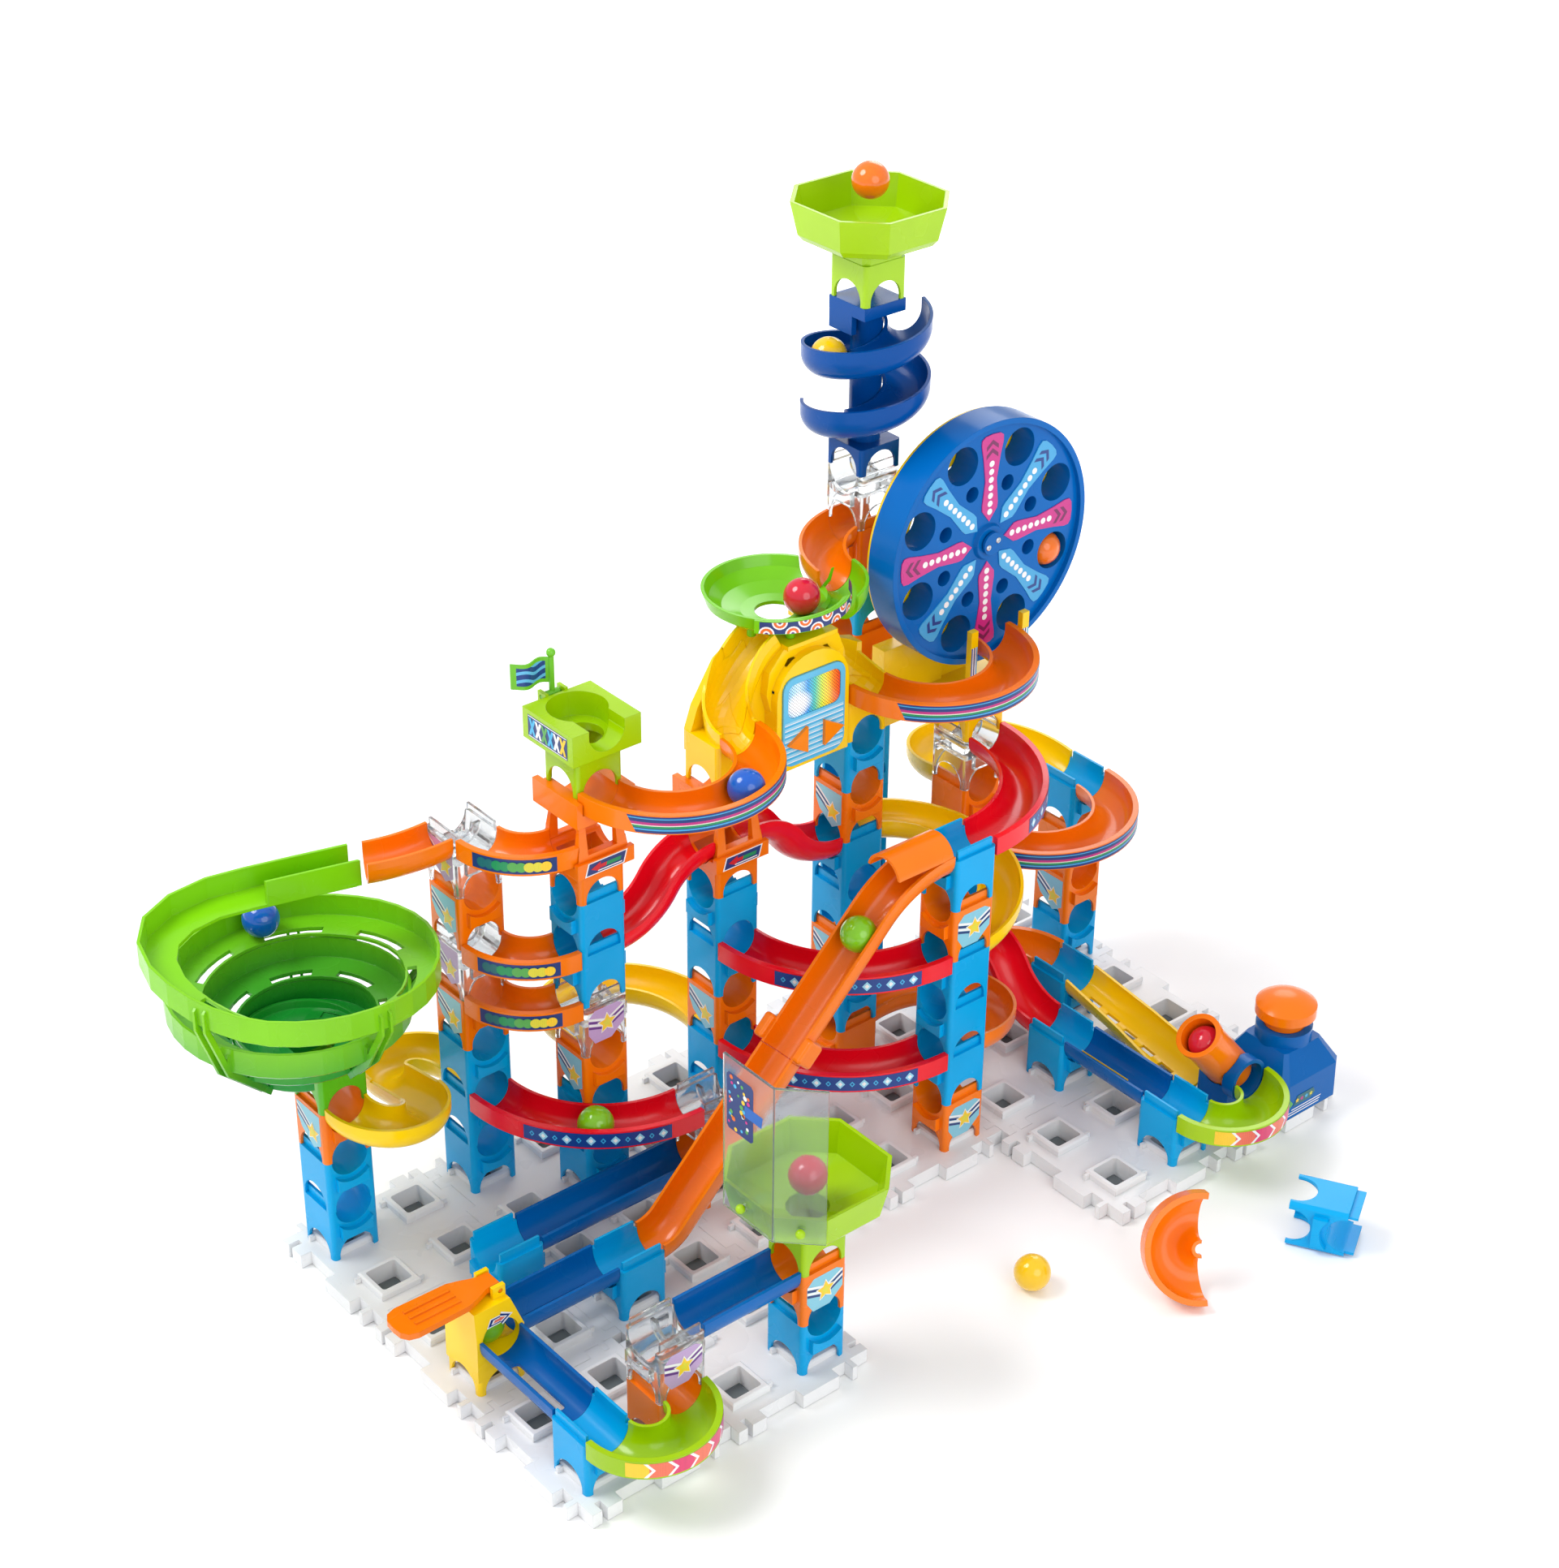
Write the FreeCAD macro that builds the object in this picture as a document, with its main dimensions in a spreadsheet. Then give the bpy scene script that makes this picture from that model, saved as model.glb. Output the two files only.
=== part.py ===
import FreeCAD, Part
import math
import os
import Sketcher

# A marble run: jigsaw base plates carry towers of stacking blocks, and tracks clip between the towers.
# Grid: column i runs along +X and row j along -Y, one cell apart; a level is one block pitch above the plates.
# The origin is the underside centre of the plate whose middle is the grid point ORIGIN_I, ORIGIN_J.

V = FreeCAD.Vector
X_AXIS = V(1, 0, 0)
Y_AXIS = V(0, 1, 0)
Z_AXIS = V(0, 0, 1)

DIMENSIONS = [
    ("cell", 54.0, "grid pitch"),
    ("width", 34.4, "block width"),
    ("pitch", 38.5, "block stacking height"),
    ("corner", 3.0, "block corner radius"),
    ("wall", 2.0, "moulded wall"),
    ("bore", 13.2, "channel radius"),
    ("arch", 12.6, "foot arch radius"),
    ("rise", 2.5, "foot arch centre height"),
    ("rail", 6.0, "rail height over the shoulder"),
    ("shell", 2.2, "track wall"),
    ("kerb", 3.5, "track side height over the channel axis"),
    ("band", 17.2, "outer face of a curve's sticker wall"),
    ("plate", 10.0, "base plate thickness"),
    ("boss", 29.0, "base boss width"),
    ("bossrise", 5.0, "base boss height"),
    ("window", 21.6, "base boss window"),
    ("gap", 0.2, "clearance between neighbours"),
    ("ball", 24.0, "marble diameter"),
    ("wheelrad", 86.0, "lifting wheel radius"),
    ("wheeldepth", 24.0, "lifting wheel depth"),
    ("axle", 3.0, "wheel axle radius"),
    ("bowlrad", 45.0, "vortex bowl rim radius"),
    ("funnelrad", 88.0, "funnel rim radius"),
    ("trayhalf", 44.0, "catcher tray half width"),
    ("traycut", 22.0, "catcher tray corner cut"),
    ("screw", 42.0, "corkscrew outer radius"),
    ("column", 15.5, "corkscrew column radius"),
]
ORIGIN_I = 4
ORIGIN_J = 2

doc = FreeCAD.newDocument("MarbleRun")
sheet = doc.addObject("Spreadsheet::Sheet", "Dims")
for row, (alias, value, note) in enumerate(DIMENSIONS, 1):
    sheet.set("A%d" % row, alias)
    sheet.set("B%d" % row, str(value))
    sheet.set("C%d" % row, note)
    sheet.setAlias("B%d" % row, alias)
doc.recompute()


def dim(alias):
    return float(sheet.get(alias))


CELL = dim("cell")
PITCH = dim("pitch")
HALF = dim("width") / 2
BORE = dim("bore")
SHELL = dim("shell")
GAP = dim("gap")
BALL = dim("ball")
FACE = HALF / CELL + GAP / CELL
PLATE = dim("plate")
ROD = BORE + SHELL
NODES = []


# ---------------------------------------------------------------- places and helpers

def at(i, j, level):
    return V((i - ORIGIN_I) * CELL, (ORIGIN_J - j) * CELL, PLATE + level * PITCH)


def bind(obj, **sizes):
    for prop, expression in sizes.items():
        obj.setExpression(prop.replace("_", "."), expression)
    return obj


def primitive(kind, place, turn=None, **sizes):
    obj = doc.addObject("Part::" + kind, kind)
    obj.Placement = FreeCAD.Placement(place, turn or FreeCAD.Rotation())
    return bind(obj, **sizes)


def block(centre, x, y, z, turn=None):
    "A box centred on a point, its three sizes given as expressions."
    obj = primitive("Box", centre, turn, Length=x, Width=y, Height=z)
    doc.recompute([obj])
    half = V(obj.Length.Value / 2, obj.Width.Value / 2, obj.Height.Value / 2)
    obj.Placement.Base = centre - obj.Placement.Rotation.multVec(half)
    return obj


def rod(start, axis, radius, length):
    "A cylinder from a start point along an axis, its sizes given as expressions."
    turn = FreeCAD.Rotation(Z_AXIS, axis)
    return primitive("Cylinder", start, turn, Radius=radius, Height=length)


def cone(start, axis, low, high, length):
    turn = FreeCAD.Rotation(Z_AXIS, axis)
    return primitive("Cone", start, turn, Radius1=low, Radius2=high, Height=length)


def ball(centre, radius):
    return primitive("Sphere", centre, None, Radius=radius)


def fuse(*shapes):
    obj = doc.addObject("Part::MultiFuse", "Fuse")
    obj.Shapes = list(shapes)
    obj.Refine = True
    return obj


def cut(base, *tools):
    obj = doc.addObject("Part::Cut", "Cut")
    obj.Base = base
    obj.Tool = tools[0] if len(tools) == 1 else fuse(*tools)
    obj.Refine = True
    return obj


def common(*shapes):
    obj = doc.addObject("Part::MultiCommon", "Common")
    obj.Shapes = list(shapes)
    return obj


def feature(shape):
    obj = doc.addObject("Part::Feature", "Shape")
    obj.Shape = shape
    return obj


def copy_of(source, place, turn_z=0.0):
    link = doc.addObject("App::Link", "Copy")
    link.LinkedObject = source
    link.LinkTransform = False
    link.Placement = FreeCAD.Placement(place, FreeCAD.Rotation(Z_AXIS, turn_z))
    return link


def node(label, *members):
    "Names a sub-part; several identical pieces become one group of separate solids."
    if len(members) == 1:
        obj = members[0]
    else:
        obj = doc.addObject("Part::Compound", "Group")
        obj.Links = list(members)
    obj.Label = label
    NODES.append(obj)
    return obj


def prism(points, height, base=V(0, 0, 0)):
    wire = Part.makePolygon([V(*p) for p in points] + [V(*points[0])])
    solid = Part.Face(wire).extrude(V(0, 0, height))
    solid.translate(base)
    return solid


# ---------------------------------------------------------------- track profiles

def gutter_points(left, right, band):
    "Closed channel profile round the axis: u across (positive outside a bend), w up."
    inner = Part.Arc(V(-BORE, 0, 0), V(0, 0, -BORE), V(BORE, 0, 0)).toShape()
    edges = [inner, Part.makeLine(V(BORE, 0, 0), V(BORE, 0, right))]
    if band:
        edge = dim("band")
        drop = -8.0
        knee = math.sqrt(ROD ** 2 - drop ** 2)
        edges.append(Part.makeLine(V(BORE, 0, right), V(edge, 0, right)))
        edges.append(Part.makeLine(V(edge, 0, right), V(edge, 0, drop)))
        edges.append(Part.makeLine(V(edge, 0, drop), V(knee, 0, drop)))
        edges.append(Part.Arc(V(knee, 0, drop), V(0, 0, -ROD), V(-ROD, 0, 0)).toShape())
    else:
        edges.append(Part.makeLine(V(BORE, 0, right), V(ROD, 0, right)))
        edges.append(Part.makeLine(V(ROD, 0, right), V(ROD, 0, 0)))
        edges.append(Part.Arc(V(ROD, 0, 0), V(0, 0, -ROD), V(-ROD, 0, 0)).toShape())
    edges.append(Part.makeLine(V(-ROD, 0, 0), V(-ROD, 0, left)))
    edges.append(Part.makeLine(V(-ROD, 0, left), V(-BORE, 0, left)))
    edges.append(Part.makeLine(V(-BORE, 0, left), V(-BORE, 0, 0)))
    return Part.Wire(Part.__sortEdges__(edges))


def gutter_sketch(name):
    "The plain half-pipe profile as a sketch, bound to the sheet."
    sketch = doc.addObject("Sketcher::SketchObject", name)
    kerb = dim("kerb")
    arcs = [Part.ArcOfCircle(Part.Circle(V(0, 0, 0), Z_AXIS, r), math.pi, 2 * math.pi) for r in (BORE, ROD)]
    lines = []
    for side in (1, -1):
        corners = [V(side * BORE, 0, 0), V(side * BORE, kerb, 0), V(side * ROD, kerb, 0), V(side * ROD, 0, 0)]
        lines += [Part.LineSegment(a, b) for a, b in zip(corners, corners[1:])]
    sketch.addGeometry(arcs + lines, False)
    rule = Sketcher.Constraint
    rules = [rule("Coincident", 0, 3, -1, 1), rule("Coincident", 1, 3, -1, 1)]
    rules += [rule("PointOnObject", arc, end, -1) for arc in (0, 1) for end in (1, 2)]
    for first, end in ((2, 2), (5, 1)):
        rules += [rule("Coincident", first, 1, 0, end), rule("Coincident", first, 2, first + 1, 1)]
        rules += [rule("Coincident", first + 1, 2, first + 2, 1), rule("Coincident", first + 2, 2, 1, end)]
        rules += [rule("Vertical", first), rule("Vertical", first + 2), rule("Horizontal", first + 1)]
    sketch.addConstraint(rules)
    sized = [(rule("Radius", 0, BORE), "Dims.bore"), (rule("Radius", 1, ROD), "Dims.bore + Dims.shell")]
    sized += [(rule("DistanceY", line, 1, line, 2, kerb), "Dims.kerb") for line in (2, 5)]
    for constraint, expression in sized:
        sketch.setExpression("Constraints[%d]" % sketch.addConstraint(constraint), expression)
    return sketch


GUTTER = gutter_sketch("GutterProfile")


def straight(start, end):
    "Half-pipe from start to end, drawn from the shared sketch."
    run = end - start
    flat = V(run.x, run.y, 0)
    obj = doc.addObject("Part::Extrusion", "Straight")
    obj.Base = GUTTER
    obj.DirMode = "Custom"
    obj.Dir = V(0, run.z / flat.Length, 1)
    obj.LengthFwd = run.Length
    obj.Solid = True
    flat.normalize()
    obj.Placement = FreeCAD.Placement(start, FreeCAD.Rotation(Z_AXIS.cross(flat), Z_AXIS, flat, "ZYX"))
    return obj


def arc_track(centre, radius, start, sweep, drop=0.0, band=True, left=None, right=None):
    "Channel round a centre: angles from +X in degrees, anticlockwise positive, falling by drop."
    kerb = dim("kerb")
    outer = kerb + 1.5 if right is None else right
    profile = gutter_points(kerb if left is None else left, outer, band)
    profile.translate(V(radius, 0, 0))
    angle = abs(sweep)
    if abs(drop) < 0.01:
        shape = Part.Face(profile).revolve(V(0, 0, 0), Z_AXIS, angle)
        shape.rotate(V(0, 0, 0), Z_AXIS, 0 if sweep > 0 else -angle)
    else:
        path = Part.makeHelix(drop * 360.0 / angle, drop, radius)
        pipe = Part.BRepOffsetAPI.MakePipeShell(Part.Wire(path.Edges))
        pipe.setBiNormalMode(Z_AXIS)
        pipe.add(profile)
        pipe.build()
        pipe.makeSolid()
        shape = pipe.shape()
        shape.translate(V(0, 0, -drop))
        if sweep > 0:
            shape = shape.mirror(V(0, 0, 0), Y_AXIS)
        shape.rotate(V(0, 0, 0), Z_AXIS, angle if sweep > 0 else -angle)
    shape.rotate(V(0, 0, 0), Z_AXIS, start)
    shape.translate(centre)
    return shape.Solids[0]


def run_track(start, heading, pieces, profile):
    "Channel in a vertical plane: ('line', length) or ('arc', radius, angle), angle positive bending down."
    across = FreeCAD.Rotation(Z_AXIS, heading).multVec(Y_AXIS)
    spot = V(start)
    pitch = 0.0
    parts = []
    for kind, size, *bend in pieces:
        turn = FreeCAD.Rotation(across, pitch).multiply(FreeCAD.Rotation(Z_AXIS, heading - 90))
        forward = turn.multVec(Y_AXIS)
        up = turn.multVec(Z_AXIS)
        wire = profile.copy()
        wire.Placement = FreeCAD.Placement(spot, turn)
        face = Part.Face(wire)
        if kind == "line":
            parts.append(face.extrude(forward * size))
            spot = spot + forward * size
        else:
            angle = bend[0]
            centre = spot - up * size if angle > 0 else spot + up * size
            parts.append(face.revolve(centre, across, angle))
            spot = centre + FreeCAD.Rotation(across, angle).multVec(spot - centre)
            pitch += angle
    solid = parts[0]
    for part in parts[1:]:
        solid = solid.fuse(part)
    return solid.removeSplitter().Solids[0], spot


# ---------------------------------------------------------------- base plates

def plate_outline():
    "Jigsaw outline of one two-by-two plate: each side is its own mirror image turned half round."
    reach = 0.07 * CELL
    steps = [(0.0, 1), (0.20, 1), (0.20, -1), (0.27, -1), (0.27, 1), (0.47, 1), (0.47, -1), (1.0, -1)]
    steps += [(2.0 - s, -side) for s, side in reversed(steps)]
    points = []
    for quarter in range(4):
        turn = FreeCAD.Rotation(Z_AXIS, 90 * quarter)
        for s, side in steps:
            along = min(max(s * CELL, reach + GAP if side < 0 else 0), 2 * CELL)
            out = side * reach - GAP / 2
            if s == 0.0:
                along = reach + GAP / 2
            if s == 2.0:
                along = 2 * CELL + reach - GAP / 2
            points.append(turn.multVec(V(along - CELL, -CELL - out, 0)))
    return points


def base_plate():
    outline = plate_outline()
    face = Part.Face(Part.makePolygon(outline + outline[:1]))
    solid = face.extrude(V(0, 0, PLATE))
    boss, rise, window = dim("boss"), dim("bossrise"), dim("window")
    for i in (-0.5, 0.5):
        for j in (-0.5, 0.5):
            centre = V(i * CELL, j * CELL, 0)
            raised = Part.makeBox(boss, boss, rise + 1, centre + V(-boss / 2, -boss / 2, PLATE - 1))
            rim = [e for e in raised.Edges if e.BoundBox.ZMin > PLATE + rise - 0.5]
            solid = solid.fuse(raised.makeChamfer(1.2, rim))
            for side in (-1, 1):
                ear = Part.makeBox(4.5, 2.4, rise - 1.2)
                ear.translate(centre + V(side * (boss / 2 + 1.6) - 2.25, -side * (boss / 2 - 3.6) - 1.2, PLATE))
                solid = solid.fuse(ear)
            hole = Part.makeBox(window, window, 40, centre + V(-window / 2, -window / 2, -10))
            solid = solid.cut(hole.makeFillet(2.0, [e for e in hole.Edges if e.Length > 30]))
    return solid.removeSplitter()


PLATES = [(i, 0) for i in range(0, 12, 2)] + [(i, 2) for i in range(0, 12, 2)] + [(0, 4), (2, 4), (8, 4), (10, 4)]
plate = feature(base_plate())
node("base_plates", *[copy_of(plate, at(i, j, 0) - V(0, 0, PLATE)) for i, j in PLATES])


# ---------------------------------------------------------------- stacking blocks

def arch_cutters(reach):
    "Openings under a foot along both axes: a round top over straight legs."
    tools = []
    for axis in (X_AXIS, Y_AXIS):
        tools.append(rod(axis * -reach + Z_AXIS * dim("rise"), axis, "Dims.arch", "2 * %g" % reach))
        side = FreeCAD.Rotation(Z_AXIS, 0 if axis is Y_AXIS else 90)
        tools.append(block(V(0, 0, -3), "2 * Dims.arch", "%g" % (2 * reach), "11", side))
    return tools


def rounded_post(height):
    "Square post with rounded corners, its height an expression."
    post = block(V(0, 0, 0), "Dims.width", "Dims.width", height)
    post.Placement.Base.z = 0
    doc.recompute([post])
    upright = [n + 1 for n, e in enumerate(post.Shape.Edges) if abs(e.tangentAt(0).z) > 0.9]
    soft = doc.addObject("Part::Fillet", "RoundedPost")
    soft.Base = post
    soft.Edges = [(n, dim("corner"), dim("corner")) for n in upright]
    return soft


def stacking_block():
    "One block: a channel across the top, an arch in the foot of each side and a hollow below."
    pieces = [rounded_post("Dims.pitch - 0.05")]
    for side in (-1, 1):
        base = V(side * (BORE + 0.9), 0, PITCH + dim("rail") / 2 - 1)
        pieces.append(block(base, "1.8", "Dims.width - 2 * Dims.wall - 0.8", "Dims.rail + 2"))
        clip = V(0, side * (HALF + 1.7), PITCH - 15.5)
        pieces.append(block(clip, "23", "3.8", "13"))
    body = fuse(*pieces)
    hollow = block(V(0, 0, (PITCH - BORE - 2.2) / 2 - 0.1), "Dims.width - 2 * Dims.wall",
                   "Dims.width - 2 * Dims.wall", "Dims.pitch - Dims.bore - 2.2 + 0.2")
    channel = rod(V(0, -60, PITCH), Y_AXIS, "Dims.bore", "120")
    relief = [rod(V(0, side * (HALF + 0.05), PITCH), Y_AXIS * side, "Dims.bore + Dims.shell + 1.2", "10")
              for side in (-1, 1)]
    return cut(body, hollow, channel, *relief, *arch_cutters(40))


BLOCK = stacking_block()
ALONG_J, ALONG_I = 0.0, 90.0


def tower(cells):
    "Copies of the block for a list of (i, j, first level, last level, channel direction)."
    links = []
    for i, j, low, high, turn in cells:
        links += [copy_of(BLOCK, at(i + 0.5, j + 0.5, level), turn) for level in range(low, high)]
    return links


BLUE_LEFT = [(-1, -1, 0, 2, ALONG_J), (1, -1, 0, 3, ALONG_J), (2, 0, 0, 2, ALONG_J),
             (2, 0, 4, 6, ALONG_I)]
BLUE_MIDDLE = [(4, 0, 0, 2, ALONG_J), (4, 0, 3, 4, ALONG_J), (4, 0, 4, 5, ALONG_I), (6, 0, 1, 2, ALONG_J),
               (6, 0, 3, 4, ALONG_J), (6, 0, 4, 5, ALONG_I), (6, 0, 6, 7, ALONG_J), (7, -1, 0, 7, ALONG_I),
               (7, -1, 8, 9, ALONG_I)]
BLUE_RIGHT = [(10, 0, 0, 1, ALONG_J), (10, 0, 3, 4, ALONG_J), (6, 2, 1, 4, ALONG_I), (6, 2, 5, 6, ALONG_I),
              (8, 0, 0, 1, ALONG_I), (8, 0, 1, 3, ALONG_J), (8, 0, 3, 4, ALONG_J)]
BLUE_FRONT = [(2, 4, 0, 1, ALONG_J), (-1, 4, 0, 1, ALONG_J), (8, 2, 0, 1, ALONG_J), (8, 4, 0, 1, ALONG_J),
              (9, 1, 0, 1, ALONG_J), (0, 1, 0, 1, ALONG_I), (1, 2, 0, 1, ALONG_I)]
ORANGE_MIDDLE = [(-1, -1, 2, 3, ALONG_J), (1, -1, 3, 4, ALONG_J), (1, -1, 5, 6, ALONG_J), (2, 0, 2, 3, ALONG_J),
                 (4, 0, 2, 3, ALONG_J), (6, 0, 0, 1, ALONG_I), (6, 0, 2, 3, ALONG_J), (6, 0, 5, 6, ALONG_J)]
ORANGE_RIGHT = [(8, 0, 4, 5, ALONG_J), (10, 0, 1, 3, ALONG_J), (6, 2, 0, 1, ALONG_I), (6, 2, 4, 5, ALONG_I),
                (7, -1, 7, 8, ALONG_I), (7, -1, 9, 10, ALONG_I)]
ORANGE_FRONT = [(2, 4, 1, 2, ALONG_I), (0, 4, 0, 1, ALONG_J), (3, 1, 0, 1, ALONG_I)]
CLEAR = [(1, -1, 4, 5, ALONG_J), (1, -1, 6, 7, ALONG_J), (2, 0, 3, 4, ALONG_I), (8, 0, 5, 6, ALONG_J),
         (7, -1, 10, 11, ALONG_I), (0, 4, 1, 2, ALONG_I), (3, 1, 1, 2, ALONG_I)]
for label, cells in (("blue_blocks_left", BLUE_LEFT), ("blue_blocks_middle", BLUE_MIDDLE),
                     ("blue_blocks_right", BLUE_RIGHT),
                     ("blue_blocks_front", BLUE_FRONT),
                     ("orange_blocks_middle", ORANGE_MIDDLE), ("orange_blocks_right", ORANGE_RIGHT),
                     ("orange_blocks_front", ORANGE_FRONT), ("clear_blocks", CLEAR)):
    links = tower(cells)
    if label == "blue_blocks_front":
        lying = V(0.5, -0.866, 0)
        spare = copy_of(BLOCK, V(0, 0, 0), ALONG_J)
        spare_turn = FreeCAD.Rotation(Z_AXIS, V(-0.866, -0.5, 0), lying)
        spare_spot = V(at(8.79, 0, 0).x, at(0, 6.7, 0).y, HALF + 0.1) - lying * (PITCH / 2)
        spare.Placement = FreeCAD.Placement(spare_spot, spare_turn)
        links.append(spare)
    node(label, *links)


def deflector():
    "The curved vane inside a clear block that turns the marble down the shaft."
    ring = cut(rod(V(-1.2, 0, PITCH), X_AXIS, "Dims.bore - 0.6", "2.4"),
               block(V(0, 0, PITCH + 10), "10", "40", "20"), rod(V(-5, 0, PITCH), X_AXIS, "7", "10"))
    return ring


vane = deflector()
node("clear_block_vanes", *[copy_of(vane, at(i + 0.5, j + 0.5, low), turn + 90) for i, j, low, high, turn in CLEAR])


def platform_tower():
    "Two levels high: an arched foot, a ledge, a tapering frame and a wide head with a channel."
    foot = rounded_post("0.62 * Dims.pitch")
    ledge = block(V(0, 0, 0.72 * PITCH), "43", "43", "0.28 * Dims.pitch")
    frame = primitive("Wedge", V(0, 0, 0), FreeCAD.Rotation(X_AXIS, 90))
    sizes = {"Xmin": -19, "Xmax": 19, "Zmin": -19, "Zmax": 19, "X2min": -15, "X2max": 15, "Z2min": -15,
             "Z2max": 15, "Ymin": 0.8 * PITCH, "Ymax": 1.6 * PITCH}
    for key, value in sizes.items():
        setattr(frame, key, value)
    head = block(V(0, 0, 1.78 * PITCH), "44", "46", "0.44 * Dims.pitch - 0.1")
    body = fuse(foot, ledge, frame, head)
    hollow = block(V(0, 0, 0.36 * PITCH - 0.1), "Dims.width - 2 * Dims.wall", "Dims.width - 2 * Dims.wall",
                   "0.44 * Dims.pitch + 15")
    windows = [block(V(0, 0, 1.2 * PITCH), "22", "80", "0.52 * Dims.pitch"),
               block(V(0, 0, 1.16 * PITCH), "80", "2 * Dims.bore", "0.5 * Dims.pitch")]
    channel = rod(V(0, -60, 2 * PITCH), Y_AXIS, "Dims.bore", "120")
    through = rod(V(-60, 0, PITCH), X_AXIS, "Dims.bore", "120")
    bed = []
    for side in (-1, 1):
        bed.append(rod(V(0, side * (HALF + 0.05), 2 * PITCH), Y_AXIS * side, "Dims.bore + Dims.shell + 0.6", "12"))
        bed.append(block(V(0, side * (HALF + 6.05), 2 * PITCH), "2 * Dims.band + 1", "12", "16.8"))
        bed.append(rod(V(side * (HALF + 0.05), 0, PITCH), X_AXIS * side, "Dims.bore + Dims.shell + 0.6", "12"))
        bed.append(block(V(side * (HALF + 6.05), 0, PITCH), "12", "2 * Dims.band + 1", "16.8"))
    seat = block(V(0, 0, 2 * PITCH + 5), "Dims.width + 1", "Dims.width + 1", "10.1")
    return cut(body, hollow, *windows, channel, through, *bed, seat, *arch_cutters(40))


stand = platform_tower()
node("platform_towers", copy_of(stand, at(2.5, 0.5, 6)), copy_of(stand, at(4.5, 0.5, 5)))

# ---------------------------------------------------------------- tracks

CLEAR_OF = 1 - FACE
NEAR = 0.5 - FACE
FAR = 0.5 + FACE


def bend(i, j, level, radius, start, sweep, drop=0.0, band=False):
    "A curve with its centre on the grid; radius in cells, drop in levels."
    return feature(arc_track(at(i, j, level), radius * CELL, start, sweep, drop * PITCH, band))


def slide(start, heading, length, drop):
    "S-shaped slide in a vertical plane, level at both ends."
    angle = 2 * math.degrees(math.atan2(drop, length))
    radius = length / (2 * math.sin(math.radians(angle)))
    pieces = [("arc", radius, angle), ("arc", radius, -angle)]
    profile = gutter_points(dim("kerb"), dim("kerb"), False)
    return feature(run_track(start, heading, pieces, profile)[0])


node("orange_u_turns", *[bend(i, FAR, level, 1, 0, -180, 0, True) for i, level in ((7.5, 8), (3.5, 8), (9.5, 4))])

short_curves = [bend(2.5 - FACE, -0.5 + FACE, level, CLEAR_OF, 180, 90, 0, True) for level in (7, 5, 4)]
short_curves.append(bend(8.5 + FACE, 1.5 - FACE, 1, CLEAR_OF, 90, -90, 0, True))
spare_radius = 19.0
spare_curve = arc_track(V(0, 0, 0), spare_radius, 80, 195, 0, True)
spare_curve.rotate(V(0, 0, 0), X_AXIS, 62)
spare_curve.rotate(V(0, 0, 0), Z_AXIS, -34)
spare_curve.translate(V(at(6.86, 0, 0).x, at(0, 6.47, 0).y, 0.3 - spare_curve.BoundBox.ZMin))
short_curves.append(feature(spare_curve))
node("short_orange_curves", *short_curves)

high_chute = bend(7.5 - FACE, NEAR, 10, CLEAR_OF, 90, 90, 0.25)
inlet = bend(1.5 - FACE, -0.5 - 2.0, 7, 2.0, -90, -26, 0.08)
node("orange_chutes", high_chute, inlet)

quarters = [bend(3.5 - FACE, -0.5 + FACE, 2, 1 + CLEAR_OF, 180, 90, 0, True)]
quarters += [bend(6.5 - FACE, FAR, level, 1 + CLEAR_OF, 180, 90, 0, True) for level in (4, 2)]
quarters.append(bend(6.5 + FACE, FAR, 6, 1 + CLEAR_OF, 0, -90, 0, True))
node("red_quarter_curves", *quarters)

span = (2 - 2 * FACE) * CELL
slides = [slide(at(4.5 - FACE, 0.5, 6), 180, span, PITCH), slide(at(4.5 + FACE, 0.5, 6), 0, span, PITCH)]
slides.append(slide(at(8.5, FAR, 2), -90, span, PITCH))
node("red_s_slides", *slides)

node("yellow_u_turns", bend(6.5 + FACE, 1.5, 5, 1, 90, -180, 1), bend(9.5, NEAR, 5, 1, 180, -180, 1),
     bend(3.5, NEAR, 3, 1, 180, -180, 1))
node("rear_orange_u_turn", bend(6.5 + FACE, 1.5, 2, 1, -90, 180, 1))

half_length = math.pi * CELL / 2
middle_length = 2 * FACE * CELL
fall_each = half_length / (2 * half_length + middle_length)
first_half = bend(0, -0.5 + FACE, 3, 0.5, 180, 180, fall_each)
second_half = bend(1, -0.5 - FACE, 2 + fall_each, 0.5, 180, -180, fall_each)
connector = straight(at(0.5, -0.5 + FACE, 3 - fall_each), at(0.5, -0.5 - FACE, 2 + fall_each))
node("yellow_s_curve", fuse(first_half, connector, second_half))

STRAIGHTS = [((3.5 - FACE, 1.5), (FAR, 1.5), 1, 1), ((1.5 - FACE, 2.5), (-0.5 + FACE, 2.5), 1, 1),
             ((-0.5, 2.5 + FACE), (-0.5, 4.5 - FACE), 1, 1), ((2.5 - FACE, 4.5), (FAR, 4.5), 2, 2),
             ((8.5, 2.5 + FACE), (8.5, 4.5 - FACE), 1, 1)]
straights = []
for (i1, j1), (i2, j2), high, low in STRAIGHTS:
    track = straight(at(i1, j1, high), at(i2, j2, low))
    length = math.hypot(i2 - i1, j2 - j1) * CELL
    count = 1 if length > 60 else 2
    slots = []
    turn = FreeCAD.Rotation(Z_AXIS, -math.degrees(math.atan2(j2 - j1, i2 - i1)))
    along_track = turn.multVec(X_AXIS)
    for n in range(count):
        share = (n + 0.5) / count
        spot = at(i1 + (i2 - i1) * share, j1 + (j2 - j1) * share, high) - V(0, 0, ROD)
        reach = length / count * 0.3
        slots.append(block(spot, "%g" % (2 * reach), "6", "12", turn))
        slots += [rod(spot + along_track * end - V(0, 0, 6), Z_AXIS, "3", "12") for end in (reach, -reach)]
    straights.append(cut(track, *slots))
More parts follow.
